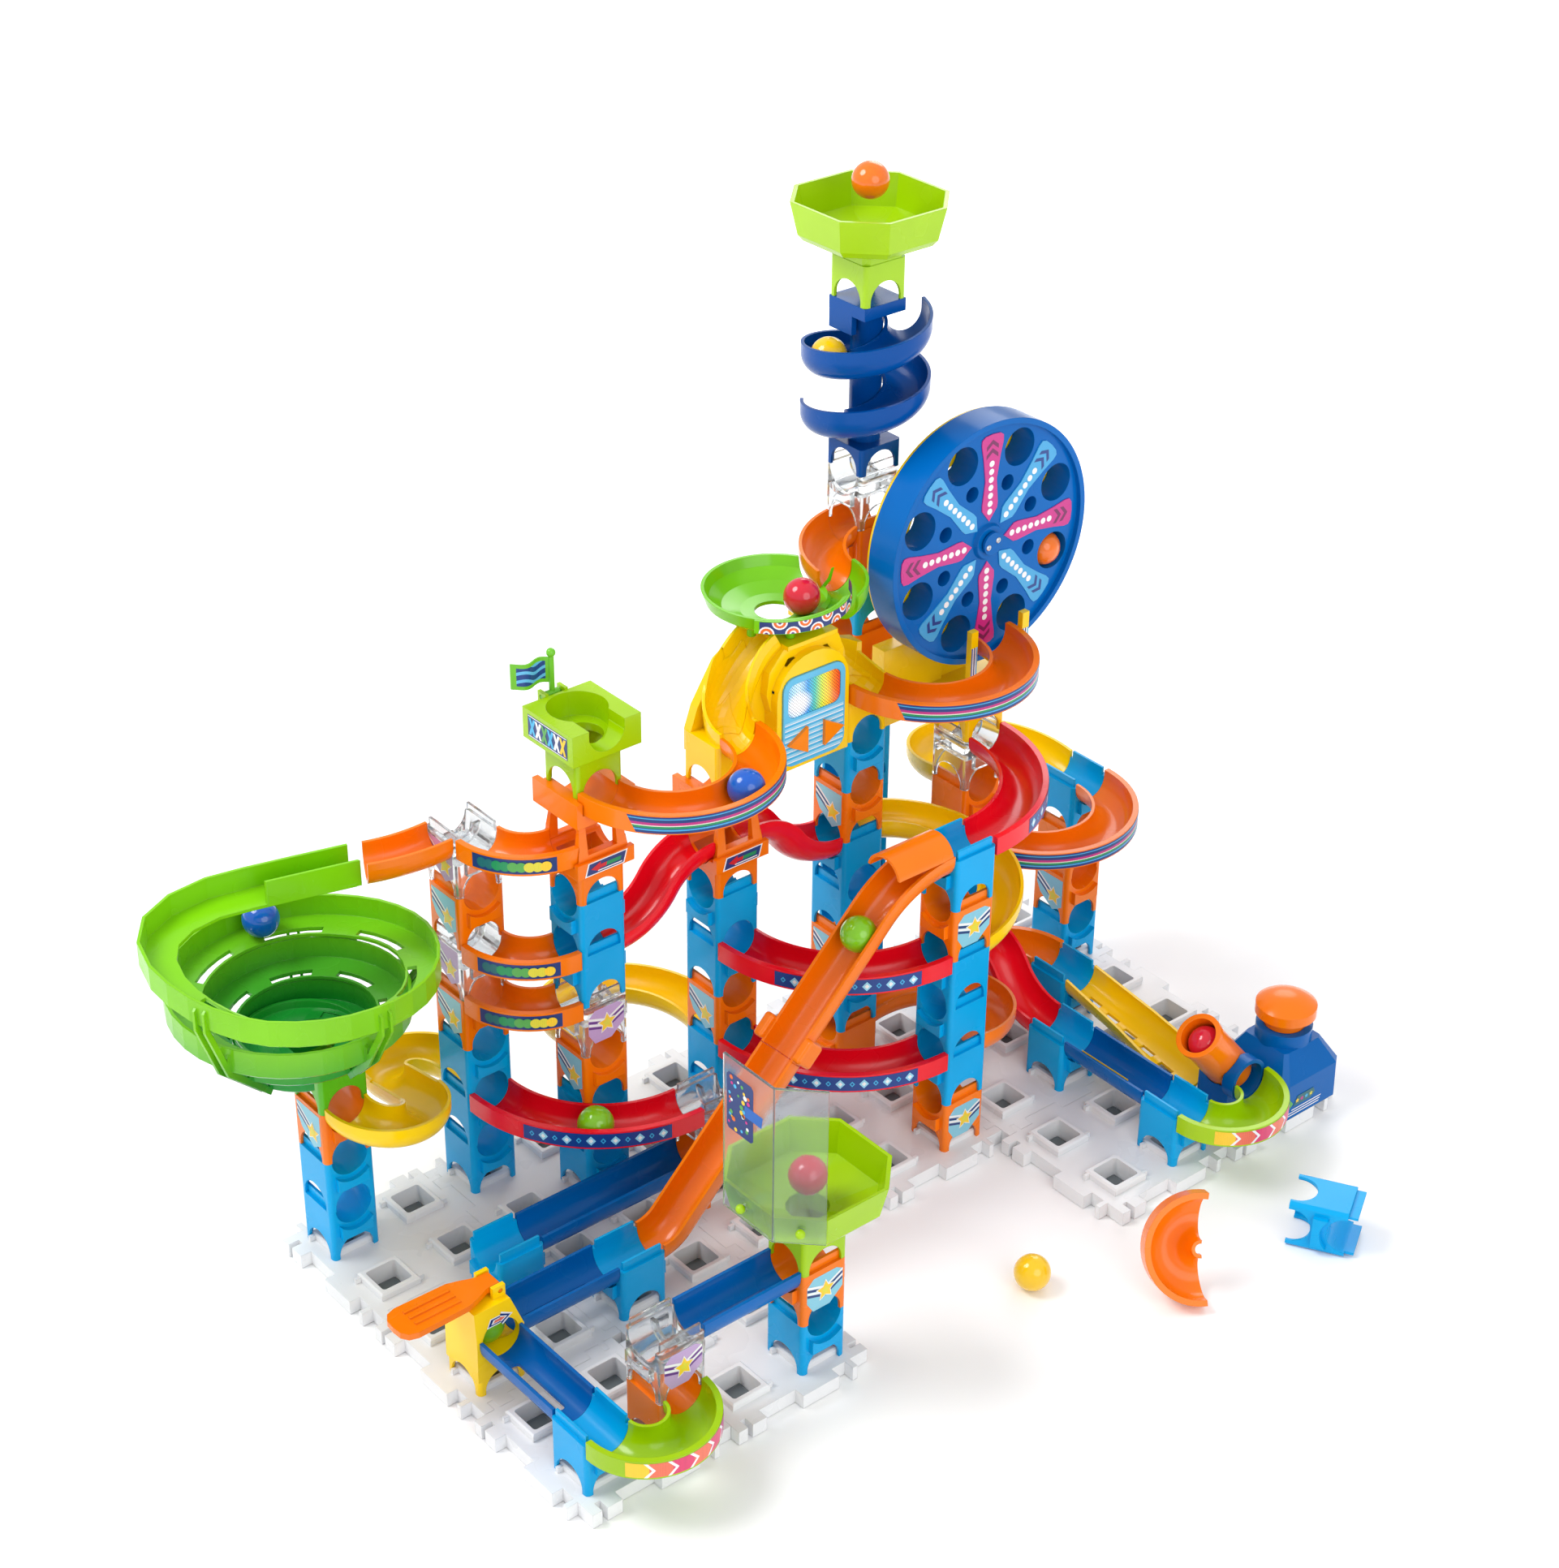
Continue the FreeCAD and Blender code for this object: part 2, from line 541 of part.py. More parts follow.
node("straight_tracks", *straights)

run = (5 - 2 * FACE) * CELL
fall = 5 * PITCH
slant = math.radians(45)
bends = (run - fall) / (math.sin(slant) - 1 + math.cos(slant))
top_bend = 80.0
incline = (fall - bends * (1 - math.cos(slant))) / math.sin(slant)
upper_length = 105.0
plain = gutter_points(dim("kerb"), dim("kerb"), False)
upper_shape, joint = run_track(at(6.5 - FACE, 2.5, 6), 180, [("arc", top_bend, 45), ("line", upper_length)], plain)
down = V(-math.cos(slant), 0, -math.sin(slant))
lift = V(-math.sin(slant), 0, math.cos(slant))
lower_start = joint + down * 0.4
lower_face = Part.Face(plain.copy())
lower_turn = FreeCAD.Rotation(Y_AXIS, -45).multiply(FreeCAD.Rotation(Z_AXIS, 90))
lower_face.Placement = FreeCAD.Placement(lower_start, lower_turn)
lower_line = lower_face.extrude(down * (incline - upper_length - 0.4))
lower_axis = joint + down * (incline - upper_length) + lift * (bends - top_bend)
lower_end = plain.copy()
lower_end.Placement = FreeCAD.Placement(joint + down * (incline - upper_length), lower_turn)
lower_bend = Part.Face(lower_end).revolve(lower_axis, Y_AXIS, 45)
roof = Part.makeCylinder(ROD, 46, V(0, 0, 0), Y_AXIS).cut(Part.makeCylinder(BORE, 60, V(0, -5, 0), Y_AXIS))
roof = roof.common(Part.makeBox(60, 60, 30, V(-30, -2, dim("kerb") - 0.5)))
roof.Placement = FreeCAD.Placement(at(6.5 - FACE, 2.5, 6) - V(1, 0, 0), FreeCAD.Rotation(Z_AXIS, 90))
saddle = Part.makeCylinder(ROD + 2.2, 11, V(-13, 0, 0), X_AXIS).cut(Part.makeCylinder(ROD - 0.5, 40, V(-20, 0, 0), X_AXIS))
saddle = saddle.common(Part.makeBox(60, 60, 30, V(-30, -30, -1)))
collar_parts = [saddle]
for side in (-1, 1):
    lug = Part.makeBox(17, 8, 14, V(-18, side * (ROD + 3.4) - 4, -7))
    collar_parts.append(lug.makeFillet(2.4, lug.Edges))
for shape in collar_parts:
    shape.rotate(V(0, 0, 0), Y_AXIS, 180 - math.degrees(slant))
    shape.translate(joint)
node("ramp_upper", feature(upper_shape.fuse([roof] + collar_parts).removeSplitter().Solids[0]))
node("ramp_lower", feature(lower_line.fuse(lower_bend).removeSplitter().Solids[0]))

node("green_u_turns", bend(0, 4.5 + FACE, 1, 0.5, 0, -180, 0, True), bend(9, 4.5 + FACE, 1, 0.5, 180, 180, 0, True))


def chute_profile(half, deep, wall, place):
    "Closed open-topped channel of a given half width and depth."
    outer, low = half + wall, deep + wall
    inside = Part.Arc(V(-half, 0, 0), V(0, 0, -deep), V(half, 0, 0)).toShape()
    outside = Part.Arc(V(outer, 0, 0), V(0, 0, -low), V(-outer, 0, 0)).toShape()
    edges = [inside, Part.makeLine(V(half, 0, 0), V(half, 0, 3)), Part.makeLine(V(half, 0, 3), V(outer, 0, 3)),
             Part.makeLine(V(outer, 0, 3), V(outer, 0, 0)), outside, Part.makeLine(V(-outer, 0, 0), V(-outer, 0, 3)),
             Part.makeLine(V(-outer, 0, 3), V(-half, 0, 3)), Part.makeLine(V(-half, 0, 3), V(-half, 0, 0))]
    wire = Part.Wire(edges)
    wire.Placement = FreeCAD.Placement(place, FreeCAD.Rotation())
    return wire


chute_ends = [chute_profile(BORE, BORE, SHELL, at(9.5, 1.5 + FACE, 1)),
              chute_profile(16, 12, SHELL, at(9.45, 2.9, 0.8)), chute_profile(19.5, 10.5, SHELL, at(9.37, 3.98, 0.55))]
chute = feature(Part.makeLoft(chute_ends, True, True))
chute_slots = [block(at(9.5 - 0.035 * n, 2.1 + 0.36 * n, 0.62 - 0.07 * n), "5", "12", "14") for n in range(5)]
node("yellow_chute", cut(chute, *chute_slots))


# ---------------------------------------------------------------- funnel

FUNNEL_I, FUNNEL_J = -0.75, -0.65
LAST_TURN = 1330
RADIUS_KNOTS = [(180, 1.55), (225, 1.54), (270, 1.46), (355, 1.44), (394, 1.39), (LAST_TURN, 0.46)]
LEVEL_KNOTS = [(180, 6.5), (225, 6.12), (310, 5.7), (394, 5.42), (LAST_TURN, 4.12)]
ENTRY = [(0.22, -0.86, 6.9), (-0.4, -1.07, 6.86), (-0.9, -1.24, 6.82), (-1.3, -1.36, 6.78), (-1.7, -1.37, 6.72),
         (-2.03, -1.24, 6.66), (-2.23, -0.98, 6.59)]


def level_z(level):
    return V(0, 0, level * PITCH)


def along(knots, angle):
    "Straight-line value between knots."
    for (a, low), (b, high) in zip(knots, knots[1:]):
        if angle <= b:
            return low + (high - low) * (angle - a) / (b - a)
    return knots[-1][1]


def funnel_point(angle, outward=0.0, rise=0.0):
    "A point of the spiral track, moved outward and up in millimetres."
    turn = math.radians(angle)
    reach = along(RADIUS_KNOTS, angle) * CELL + outward
    return at(FUNNEL_I, FUNNEL_J, along(LEVEL_KNOTS, angle)) + V(reach * math.cos(turn), reach * math.sin(turn), rise)


def tapered(low_points, high_points):
    "Solid between two polygons with equal corner counts."
    wires = [Part.makePolygon([V(*p) for p in points + points[:1]]) for points in (low_points, high_points)]
    return Part.makeLoft(wires, True, True)


spine = [at(*place) for place in ENTRY] + [funnel_point(angle) for angle in range(180, LAST_TURN + 1, 10)]
tread = [(-11, -13), (9, -11.5), (9, 3), (11, 3), (11, -13.6), (9.5, -15.2), (-11, -15.2)]
sections = []
for n, spot in enumerate(spine):
    heading = spine[min(n + 1, len(spine) - 1)] - spine[max(n - 1, 0)]
    side = V(heading.x, heading.y, 0).cross(Z_AXIS)
    side.normalize()
    corners = [spot + side * u + Z_AXIS * w for u, w in tread]
    sections.append(Part.makePolygon(corners + corners[:1]))
spiral = Part.makeLoft(sections, True, True)

slots = []
for first in list(range(196, 1150, 52)):
    low = [funnel_point(first + step, -9.5, -20) for step in range(0, 33, 8)]
    high = [funnel_point(first + step, -4.0, -20) for step in range(0, 33, 8)]
    outline = low + high[::-1]
    drop_here = funnel_point(first, 0, 0).z - funnel_point(first + 32, 0, 0).z
    flat = [V(p.x, p.y, funnel_point(first + 32).z - 18) for p in outline]
    slots.append(Part.Face(Part.makePolygon(flat + flat[:1])).extrude(V(0, 0, 9.5 + drop_here)))
spiral = spiral.cut(slots).Solids[0]

ribs = []
for angle in (205, 275, 345, 60 + 360, 130 + 360):
    turns = [angle + 360 * n for n in range(4) if angle + 360 * n < LAST_TURN]
    seats = [(along(RADIUS_KNOTS, turn) * CELL, along(LEVEL_KNOTS, turn) * PITCH) for turn in turns]
    profiles = [[(r + 9.8, z - 1), (r + 13, z - 3), (r + 13, z - 16.5), (r + 9.8, z - 13.5)] for r, z in seats]
    for (r, z), (r_next, z_next) in zip(seats, seats[1:]):
        profiles.append([(r + 9.8, z - 13.5), (r + 13, z - 16.5), (r_next + 13, z_next - 16.5), (r_next + 9.8, z_next - 13.5)])
    for shift in (-4.2, 2.4):
        for profile in profiles:
            outline = [V(r, shift, z) for r, z in profile + profile[:1]]
            rib = Part.Face(Part.makePolygon(outline)).extrude(V(0, 1.8, 0))
            rib.rotate(V(0, 0, 0), Z_AXIS, angle)
            rib.translate(at(FUNNEL_I, FUNNEL_J, 0))
            ribs.append(rib)
cone_line = [(15.4, 3.9), (25, 3.98), (38, 4.02), (40, 4.2), (37.6, 4.2), (35.8, 4.09), (24, 4.05), (13.4, 4.0), (13.4, 3.9)]
cone_face = Part.Face(Part.makePolygon([V(r, 0, level * PITCH) for r, level in cone_line + cone_line[:1]]))
cone_shell = cone_face.revolve(V(0, 0, 0), Z_AXIS, 360)
cone_shell.translate(at(FUNNEL_I, FUNNEL_J, 0))
entry_wall = tapered([(p.x, p.y, p.z) for p in
                      [at(0.27, -0.86, 6.9) + V(-3.2, -11.2, -15), at(-0.75, -1.19, 6.84) + V(-3.2, -11.2, -15),
                       at(-0.75, -1.19, 6.84) + V(-3.9, -9.2, -15), at(0.27, -0.86, 6.9) + V(-3.9, -9.2, -15)]],
                     [(p.x, p.y, p.z) for p in
                      [at(0.27, -0.86, 6.9) + V(-3.2, -11.2, 3), at(-0.75, -1.19, 6.84) + V(-3.2, -11.2, 3),
                       at(-0.75, -1.19, 6.84) + V(-3.9, -9.2, 3), at(0.27, -0.86, 6.9) + V(-3.9, -9.2, 3)]])
funnel = feature(spiral.fuse(cone_shell).fuse(entry_wall).fuse(ribs).Solids[0])


def pillar_foot(place, height):
    "Rounded square foot with arches on all sides and a hollow below, its height in levels."
    post = rounded_post("%g * Dims.pitch - 0.05" % height)
    depth = height * PITCH - 3
    hollow = block(V(0, 0, depth / 2 - 0.1), "Dims.width - 2 * Dims.wall", "Dims.width - 2 * Dims.wall", "%g" % depth)
    foot = cut(post, hollow, *arch_cutters(40))
    foot.Placement = FreeCAD.Placement(place, FreeCAD.Rotation())
    return foot


def octagon(half, corner, height):
    h, c = half, half - corner
    return [(x, y, height) for x, y in ((c, -h), (h, -c), (h, c), (c, h), (-c, h), (-h, c), (-h, -c), (-c, -h))]


funnel_foot = pillar_foot(at(-0.5, -0.5, 3), 0.72)
shift = at(-0.75, -0.65, 0) - at(-0.5, -0.5, 0)
neck_low = octagon(HALF - 0.2, 3, 3.66 * PITCH)
neck_high = [(x * 0.95 + shift.x, y * 0.95 + shift.y, 4.0 * PITCH) for x, y, z in neck_low]
neck = tapered(neck_low, neck_high)
neck.translate(at(-0.5, -0.5, 0))
drain_low = [(x * 0.72, y * 0.72, 3.5 * PITCH) for x, y, z in neck_low]
drain_high = [(x * 0.72 + shift.x, y * 0.72 + shift.y, 4.3 * PITCH) for x, y, z in neck_low]
drain = tapered(drain_low, drain_high)
drain.translate(at(-0.5, -0.5, 0))
node("spiral_funnel", cut(fuse(funnel, funnel_foot, feature(neck)), feature(drain)))

# ---------------------------------------------------------------- vortex bowl

BOWL = at(5.6, 0.13, 9.75)
bowl_radius = dim("bowlrad")
dish = [(13, -13), (22, -12), (34, -8.5), (42, -2.5), (bowl_radius, 4), (bowl_radius + 2.2, 4), (44.4, -4.6),
        (36, -10.8), (23, -14.4), (13, -15.4)]
dish_face = Part.Face(Part.makePolygon([V(r, 0, w) for r, w in dish + dish[:1]]))
dish_shell = dish_face.revolve(V(0, 0, 0), Z_AXIS, 360)
dish_shell.translate(BOWL)
lobe_centre = at(6.5 - 0.44, NEAR + 0.006, 9.75)
lobe = arc_track(lobe_centre, 0.44 * CELL, 0, -75, 3.0, False)
lobe_void = Part.makeTorus(0.44 * CELL, 12.4, V(0, 0, 0), Z_AXIS, -180, 180, 100)
lobe_void.rotate(V(0, 0, 0), Z_AXIS, -100)
lobe_void.translate(lobe_centre - V(0, 0, 0.9))
dish_void_face = Part.Face(Part.makePolygon([V(0, 0, -13), V(13, 0, -13), V(22, 0, -12), V(34, 0, -8.5), V(42, 0, -2.5),
                                             V(bowl_radius, 0, 4), V(bowl_radius, 0, 30), V(0, 0, 30), V(0, 0, -13)]))
dish_void = dish_void_face.revolve(V(0, 0, 0), Z_AXIS, 360)
dish_void.translate(BOWL)
room = [V(CLEAR_OF * CELL + u, 0, w) for u, w in ((-16.2, -17), (16.2, -17), (16.2, 14), (-16.2, 14))]
chute_room = Part.Face(Part.makePolygon(room + room[:1])).revolve(V(0, 0, 0), Z_AXIS, 95)
chute_room.rotate(V(0, 0, 0), Z_AXIS, 85)
chute_room.translate(at(7.5 - FACE, NEAR, 9.75))
lobe_wall = prism([(12.6, -2.6, 0), (17.4, -2.6, 0), (17.4, -13, 0), (15.0, -13, 0), (15.0, -5, 0), (12.6, -5, 0)], 15)
lobe_wall.translate(at(6.5, NEAR + 0.006, 9.75) + V(0, 2.0, -3))
pegs = []
for angle in (200, 250, 300, 340):
    spot = BOWL + V(math.cos(math.radians(angle)), math.sin(math.radians(angle)), 0) * 29
    pegs.append(Part.makeCylinder(3, 8, V(spot.x, spot.y, at(0, 0, 9.29).z)))
lip_face = Part.Face(Part.makePolygon([V(45.2, 0, 3.9), V(48.8, 0, 3.9), V(48.8, 0, -5), V(45.6, 0, -5), V(45.2, 0, 3.9)]))
lip = lip_face.revolve(V(0, 0, 0), Z_AXIS, 125)
lip.rotate(V(0, 0, 0), Z_AXIS, 215)
lip.translate(BOWL)
bowl_parts = fuse(feature(dish_shell), feature(lip), feature(lobe.cut(dish_void)), *[feature(p) for p in pegs])
bowl = cut(bowl_parts, feature(dish_void), feature(lobe_void), feature(chute_room))
node("vortex_bowl", bowl)

# ---------------------------------------------------------------- sound unit

PANEL_Y = at(0, 0.85, 0).y
UNIT_BACK = at(0, 0.17, 0).y


def silhouette(points, front, back):
    "A solid with a front outline of (column, level) points, between two Y planes."
    line = [V(at(i, 0, 0).x, front, at(0, 0, level).z) for i, level in points]
    return Part.Face(Part.makePolygon(line + line[:1])).extrude(V(0, back - front, 0))


def swept_gutter(path_spots, half, deep, wall, top):
    "Open round-bottomed channel along a list of points, its walls upright."
    rings = []
    steps = 10
    for n, spot in enumerate(path_spots):
        heading = path_spots[min(n + 1, len(path_spots) - 1)] - path_spots[max(n - 1, 0)]
        heading.normalize()
        side = heading.cross(Z_AXIS)
        side.normalize()
        up = side.cross(heading)
        angles = [math.pi * (1 + k / steps) for k in range(steps + 1)]
        inner = [(half * math.cos(a), deep * math.sin(a)) for a in angles]
        outer = [((half + wall) * math.cos(a), (deep + wall) * math.sin(a)) for a in angles]
        ring = [(-half, top)] + inner + [(half, top), (half + wall, top)] + outer[::-1] + [(-half - wall, top)]
        corners = [spot + side * u + up * w for u, w in ring]
        rings.append(Part.makePolygon(corners + corners[:1]))
    return Part.makeLoft(rings, True, True)


def smooth_path(spots, count):
    curve = Part.BSplineCurve()
    curve.interpolate(spots)
    first, last = curve.FirstParameter, curve.LastParameter
    return [curve.value(first + (last - first) * n / count) for n in range(count + 1)]


shape_line = [(5.05, 6.98), (5.05, 8.1), (4.98, 8.45), (5.02, 8.85), (5.2, 9.14), (5.3, 9.28), (5.98, 9.28),
              (6.08, 9.1), (6.16, 8.8), (6.16, 6.98)]
arch_line = [(5.05, 6.98), (5.05, 8.35)] + [(5.605 + 0.555 * math.cos(math.radians(a)),
                                             8.35 + 0.72 * math.sin(math.radians(a))) for a in range(165, 10, -15)]
arch_line += [(6.16, 8.35), (6.16, 6.98)]
body_shell = silhouette(shape_line, PANEL_Y + 6, UNIT_BACK).fuse(silhouette(arch_line, PANEL_Y, PANEL_Y + 8))
hollow_line = [(5.09, 7.03), (5.09, 8.2), (5.06, 8.5), (5.3, 9.0), (5.9, 9.0), (6.1, 8.6), (6.12, 7.03)]
body_hollow = silhouette(hollow_line, PANEL_Y + 4, UNIT_BACK - 2)


def soft_rectangle(i_low, i_high, low, high, corner, grow=0.0):
    "Outline of (column, level) points with rounded corners, grown by a margin in mm."
    di, dl = (corner + grow) / CELL, (corner + grow) / PITCH
    i_low, i_high = i_low - grow / CELL, i_high + grow / CELL
    low, high = low - grow / PITCH, high + grow / PITCH
    points = []
    for i, level, start in ((i_low + di, low + dl, 180), (i_high - di, low + dl, 270),
                            (i_high - di, high - dl, 0), (i_low + di, high - dl, 90)):
        for step in range(6):
            a = math.radians(start + 18 * step)
            points.append((i + di * math.cos(a), level + dl * math.sin(a)))
    return points


PANEL_FACE = (5.13, 6.08, 7.06, 8.72, 9.0)
SCREEN_FACE = (5.2, 6.01, 7.96, 8.6, 6.0)
front_mouth = silhouette(soft_rectangle(*PANEL_FACE, grow=0.3), PANEL_Y - 2, PANEL_Y + 6)
unit_roof = block(at(5.62, 0.45, 9.24), "0.76 * Dims.cell", "0.72 * Dims.cell", "0.08 * Dims.pitch")
roof_drain = rod(at(5.6, 0.13, 8.8), Z_AXIS, "Dims.bore", "60")
left_foot = pillar_foot(at(4.5, 0.5, 7), 0.9)
right_foot = pillar_foot(at(6.5, 0.5, 7), 0.98)
left_link = feature(silhouette([(4.2, 7.5), (4.2, 7.9), (4.3, 8.3), (4.62, 9.0), (4.9, 9.25), (5.1, 9.1), (5.1, 7.5)],
                               at(0, 0.3, 0).y, UNIT_BACK))
left_skirt = feature(silhouette([(4.66, 7.5), (4.72, 8.1), (4.86, 8.7), (5.1, 8.9), (5.1, 7.5)],
                                at(0, 0.62, 0).y, UNIT_BACK))
right_link = feature(silhouette([(6.1, 7.7), (6.1, 8.95), (6.35, 8.6), (6.75, 8.45), (6.75, 7.7)],
                                at(0, 0.4, 0).y, UNIT_BACK))
left_path = smooth_path([at(5.22, 0.42, 9.36), at(4.98, 0.40, 9.12), at(4.76, 0.42, 8.76), at(4.58, 0.50, 8.36),
                         at(4.505, 0.64, 8.08), at(4.5, FAR - 0.006, 8.0)], 22)
right_path = smooth_path([at(6.02, 0.34, 8.98), at(6.2, 0.34, 8.74), at(6.38, 0.4, 8.4), at(6.48, 0.56, 8.12),
                          at(6.5, FAR - 0.006, 8.0)], 16)
left_slide = swept_gutter(left_path, BORE, BORE, SHELL, 6)
right_slide = swept_gutter(right_path, BORE - 0.6, BORE, SHELL, 4)
left_way = swept_gutter(left_path[:-1], 0.3, 0.3, BORE - 0.6, 14)
right_way = swept_gutter(right_path[:-1], 0.3, 0.3, BORE - 1.2, 12)
bore_left = rod(at(4.5, 0.62, 8.0), V(0, -1, 0), "Dims.bore", "40")
bore_right = rod(at(6.5, 0.62, 8.0), V(0, -1, 0), "Dims.bore - 0.6", "40")
trim_left = block(at(4.5, FAR + 0.3, 8), "60", "0.6 * Dims.cell", "60")
trim_right = block(at(6.5, FAR + 0.3, 8), "50", "0.6 * Dims.cell", "60")
solid_parts = fuse(feature(body_shell), left_link, left_skirt, right_link, left_foot, right_foot, unit_roof)
carved = cut(solid_parts, feature(body_hollow), feature(front_mouth), roof_drain, feature(left_way), feature(right_way),
             bore_left, bore_right)
under_bowl = [(0, -16), (13, -16), (23, -15), (36, -11.4), (44.9, -5.4), (50, -5.4), (50, 12), (0, 12), (0, -16)]
bowl_room = Part.Face(Part.makePolygon([V(r, 0, w) for r, w in under_bowl])).revolve(V(0, 0, 0), Z_AXIS, 360)
bowl_room.translate(BOWL)
peg_room = [Part.makeCylinder(3.4, 9, V(p.CenterOfMass.x, p.CenterOfMass.y, at(0, 0, 9.29).z - 0.3)) for p in pegs]
slides_on = fuse(carved, cut(feature(left_slide), trim_left), cut(feature(right_slide), trim_right))
mouth_room = silhouette(soft_rectangle(*PANEL_FACE, grow=0.3), PANEL_Y - 20, PANEL_Y + 5)
housing = cut(slides_on, feature(body_hollow), feature(mouth_room), roof_drain, feature(bowl_room),
              *[feature(p) for p in peg_room])
node("sound_unit_housing", housing)

panel_plate = silhouette(soft_rectangle(*PANEL_FACE), PANEL_Y - 1.2, PANEL_Y + 1.6)
screen_hole = feature(silhouette(soft_rectangle(*SCREEN_FACE), PANEL_Y - 8, PANEL_Y + 6))
screen_solid = feature(silhouette(soft_rectangle(*SCREEN_FACE, grow=-0.3), PANEL_Y - 0.7, PANEL_Y + 3.6))


def triangle_prism(reach, depth, front, point):
    "Triangle with one corner at the given angle, depth along +Y from the front face."
    turns = [math.radians(point + step) for step in (0, 120, 240)]
    corners = [V(reach * math.cos(a), 0, reach * math.sin(a)) for a in turns]
    shape = Part.Face(Part.makePolygon(corners + corners[:1])).extrude(V(0, depth, 0))
    shape.translate(V(0, front, 0))
    return shape


BUTTONS = [("left_sound_button", 5.38, 7.5, 180), ("right_sound_button", 5.84, 7.5, 0)]
button_holes = []
for label, i, level, point in BUTTONS:
    hole = triangle_prism(11.6, 12, -6, point)
    hole.translate(V(at(i, 0, 0).x, PANEL_Y, at(0, 0, level).z))
    button_holes.append(feature(hole))
node("sound_unit_panel", cut(feature(panel_plate), screen_hole, *button_holes))
for label, i, level, point in BUTTONS:
    cap = triangle_prism(10.8, 7.4, -3.8, point).fuse(triangle_prism(12.6, 1.4, 2.2, point))
    cap.translate(V(at(i, 0, 0).x, PANEL_Y, at(0, 0, level).z))
    node(label, feature(cap.removeSplitter()))
node("light_screen", screen_solid)
node("circuit_board", block(at(5.605, 0.6, 7.9), "52", "1.6", "46"))
speaker = fuse(rod(at(5.4, 0.46, 7.7), Y_AXIS, "12", "4"), rod(at(5.4, 0.42, 7.7), Y_AXIS, "8", "7"))
node("speaker", speaker)
node("battery_cells", *[rod(at(5.78 + 0.22 * n, 0.36, 7.12), Z_AXIS, "5.2", "44") for n in range(2)])

# ---------------------------------------------------------------- lifting wheel

HUB = V(at(8.5, 0, 0).x, 0, PLATE + 6.94 * CELL)
FRONT_Y = at(0, 0.75, 0).y
wheel_radius, depth = dim("wheelrad"), dim("wheeldepth")
wheel_centre = V(HUB.x, FRONT_Y + depth, HUB.z)
disc = rod(wheel_centre, V(0, -1, 0), "Dims.wheelrad", "Dims.wheeldepth")
bore_hole = rod(wheel_centre + V(0, 5, 0), V(0, -1, 0), "Dims.axle + 0.08", "60")
face_cut = rod(wheel_centre + V(0, 3.6 - depth, 0), V(0, -1, 0), "Dims.wheelrad - 4", "20")
hub_boss = cone(wheel_centre + V(0, 4 - depth, 0), V(0, -1, 0), "13", "11.5", "3.2")
voids = [bore_hole]
pocket_at = wheel_radius - 20.5
for n in range(8):
    angle = math.radians(45 * n + 22.5)
    line = V(math.cos(angle), 0, math.sin(angle))
    voids.append(rod(wheel_centre + line * pocket_at + V(0, 5, 0), V(0, -1, 0), "Dims.bore", "60"))
    voids.append(rod(wheel_centre + line * 41 - V(0, depth - 15, 0), V(0, -1, 0), "5.4", "30"))
wheel = node("lifting_wheel", cut(fuse(cut(disc, face_cut), hub_boss), *voids))
ring = cut(rod(wheel_centre + V(0, 2.6, 0), V(0, -1, 0), "Dims.wheelrad - 1", "2"),
           rod(wheel_centre + V(0, 9, 0), V(0, -1, 0), "Dims.wheelrad - 33", "20"))
axle = fuse(rod(wheel_centre + V(0, 16, 0), V(0, -1, 0), "Dims.axle", "Dims.wheeldepth + 18"),
            rod(wheel_centre + V(0, -depth - 0.3, 0), V(0, -1, 0), "8", "2.0"))
node("wheel_axle", axle)
upright = block(V(HUB.x, wheel_centre.y + 10.2, (at(0, 0, 6.6).z + HUB.z + 16) / 2), "0.6 * Dims.cell", "9",
                "%g" % (HUB.z + 16 - at(0, 0, 6.6).z))
arms = [block(wheel_centre + V(0, 4.2, 0), "2 * Dims.wheelrad - 24", "5", "9")]
axle_hole = rod(wheel_centre + V(0, 30, 0), V(0, -1, 0), "Dims.axle + 0.15", "30")
base_foot = pillar_foot(at(8.5, 0.5, 6), 0.7)
platform = block(at(8.475, 0.5, 6.8), "1.03 * Dims.cell", "Dims.cell", "0.34 * Dims.pitch")
posts = [block(at(i, 0.95, 7.5), "6", "4.5", "1.7 * Dims.pitch") for i in (8.07, 8.93)]
back_post = block(V(HUB.x, at(0, 0.1, 0).y, at(0, 0, 7.2).z), "0.6 * Dims.cell", "14", "0.9 * Dims.pitch")
base = cut(fuse(base_foot, platform, upright, back_post, ring, *posts, *arms), axle_hole)
rear_box = block(at(7.72, 0.17, 7.2), "0.98 * Dims.cell", "12", "1.5 * Dims.pitch")
node("wheel_base", fuse(base, rear_box))

# ---------------------------------------------------------------- flag box

flag_foot = pillar_foot(at(2.5, 0.5, 8), 0.8)
flag_tub = block(at(2.5, 0.5, 9.02), "51", "51", "21")
flag_hollow = fuse(rod(at(2.5, 0.42, 8.86), Z_AXIS, "19", "30"), block(at(2.5, 0.8, 9.36), "2 * Dims.bore", "50", "20"))
flag_drop = rod(at(2.5, 0.5, 8.5), Z_AXIS, "Dims.bore", "40")
flag_exit = rod(at(2.5, 0.6, 9.12) + V(0, 0, 2.6), V(0, -1, 0), "Dims.bore", "60")
ear_y = at(0, 0.5, 0).y + 25.5
ears = [block(V(at(2.5, 0, 0).x + side * 7.2, ear_y + 3.9, at(0, 0, 9.2).z), "2.4", "8.2", "10")
        for side in (-1, 1)]
PIVOT = V(at(2.5, 0, 0).x, ear_y + 4.6, at(0, 0, 9.24).z)
pin_hole = rod(PIVOT - V(20, 0, 0), X_AXIS, "1.5", "40")
node("flag_box", cut(fuse(flag_foot, flag_tub, *ears), flag_hollow, flag_drop, flag_exit, pin_hole))
waves = []
steps = 18
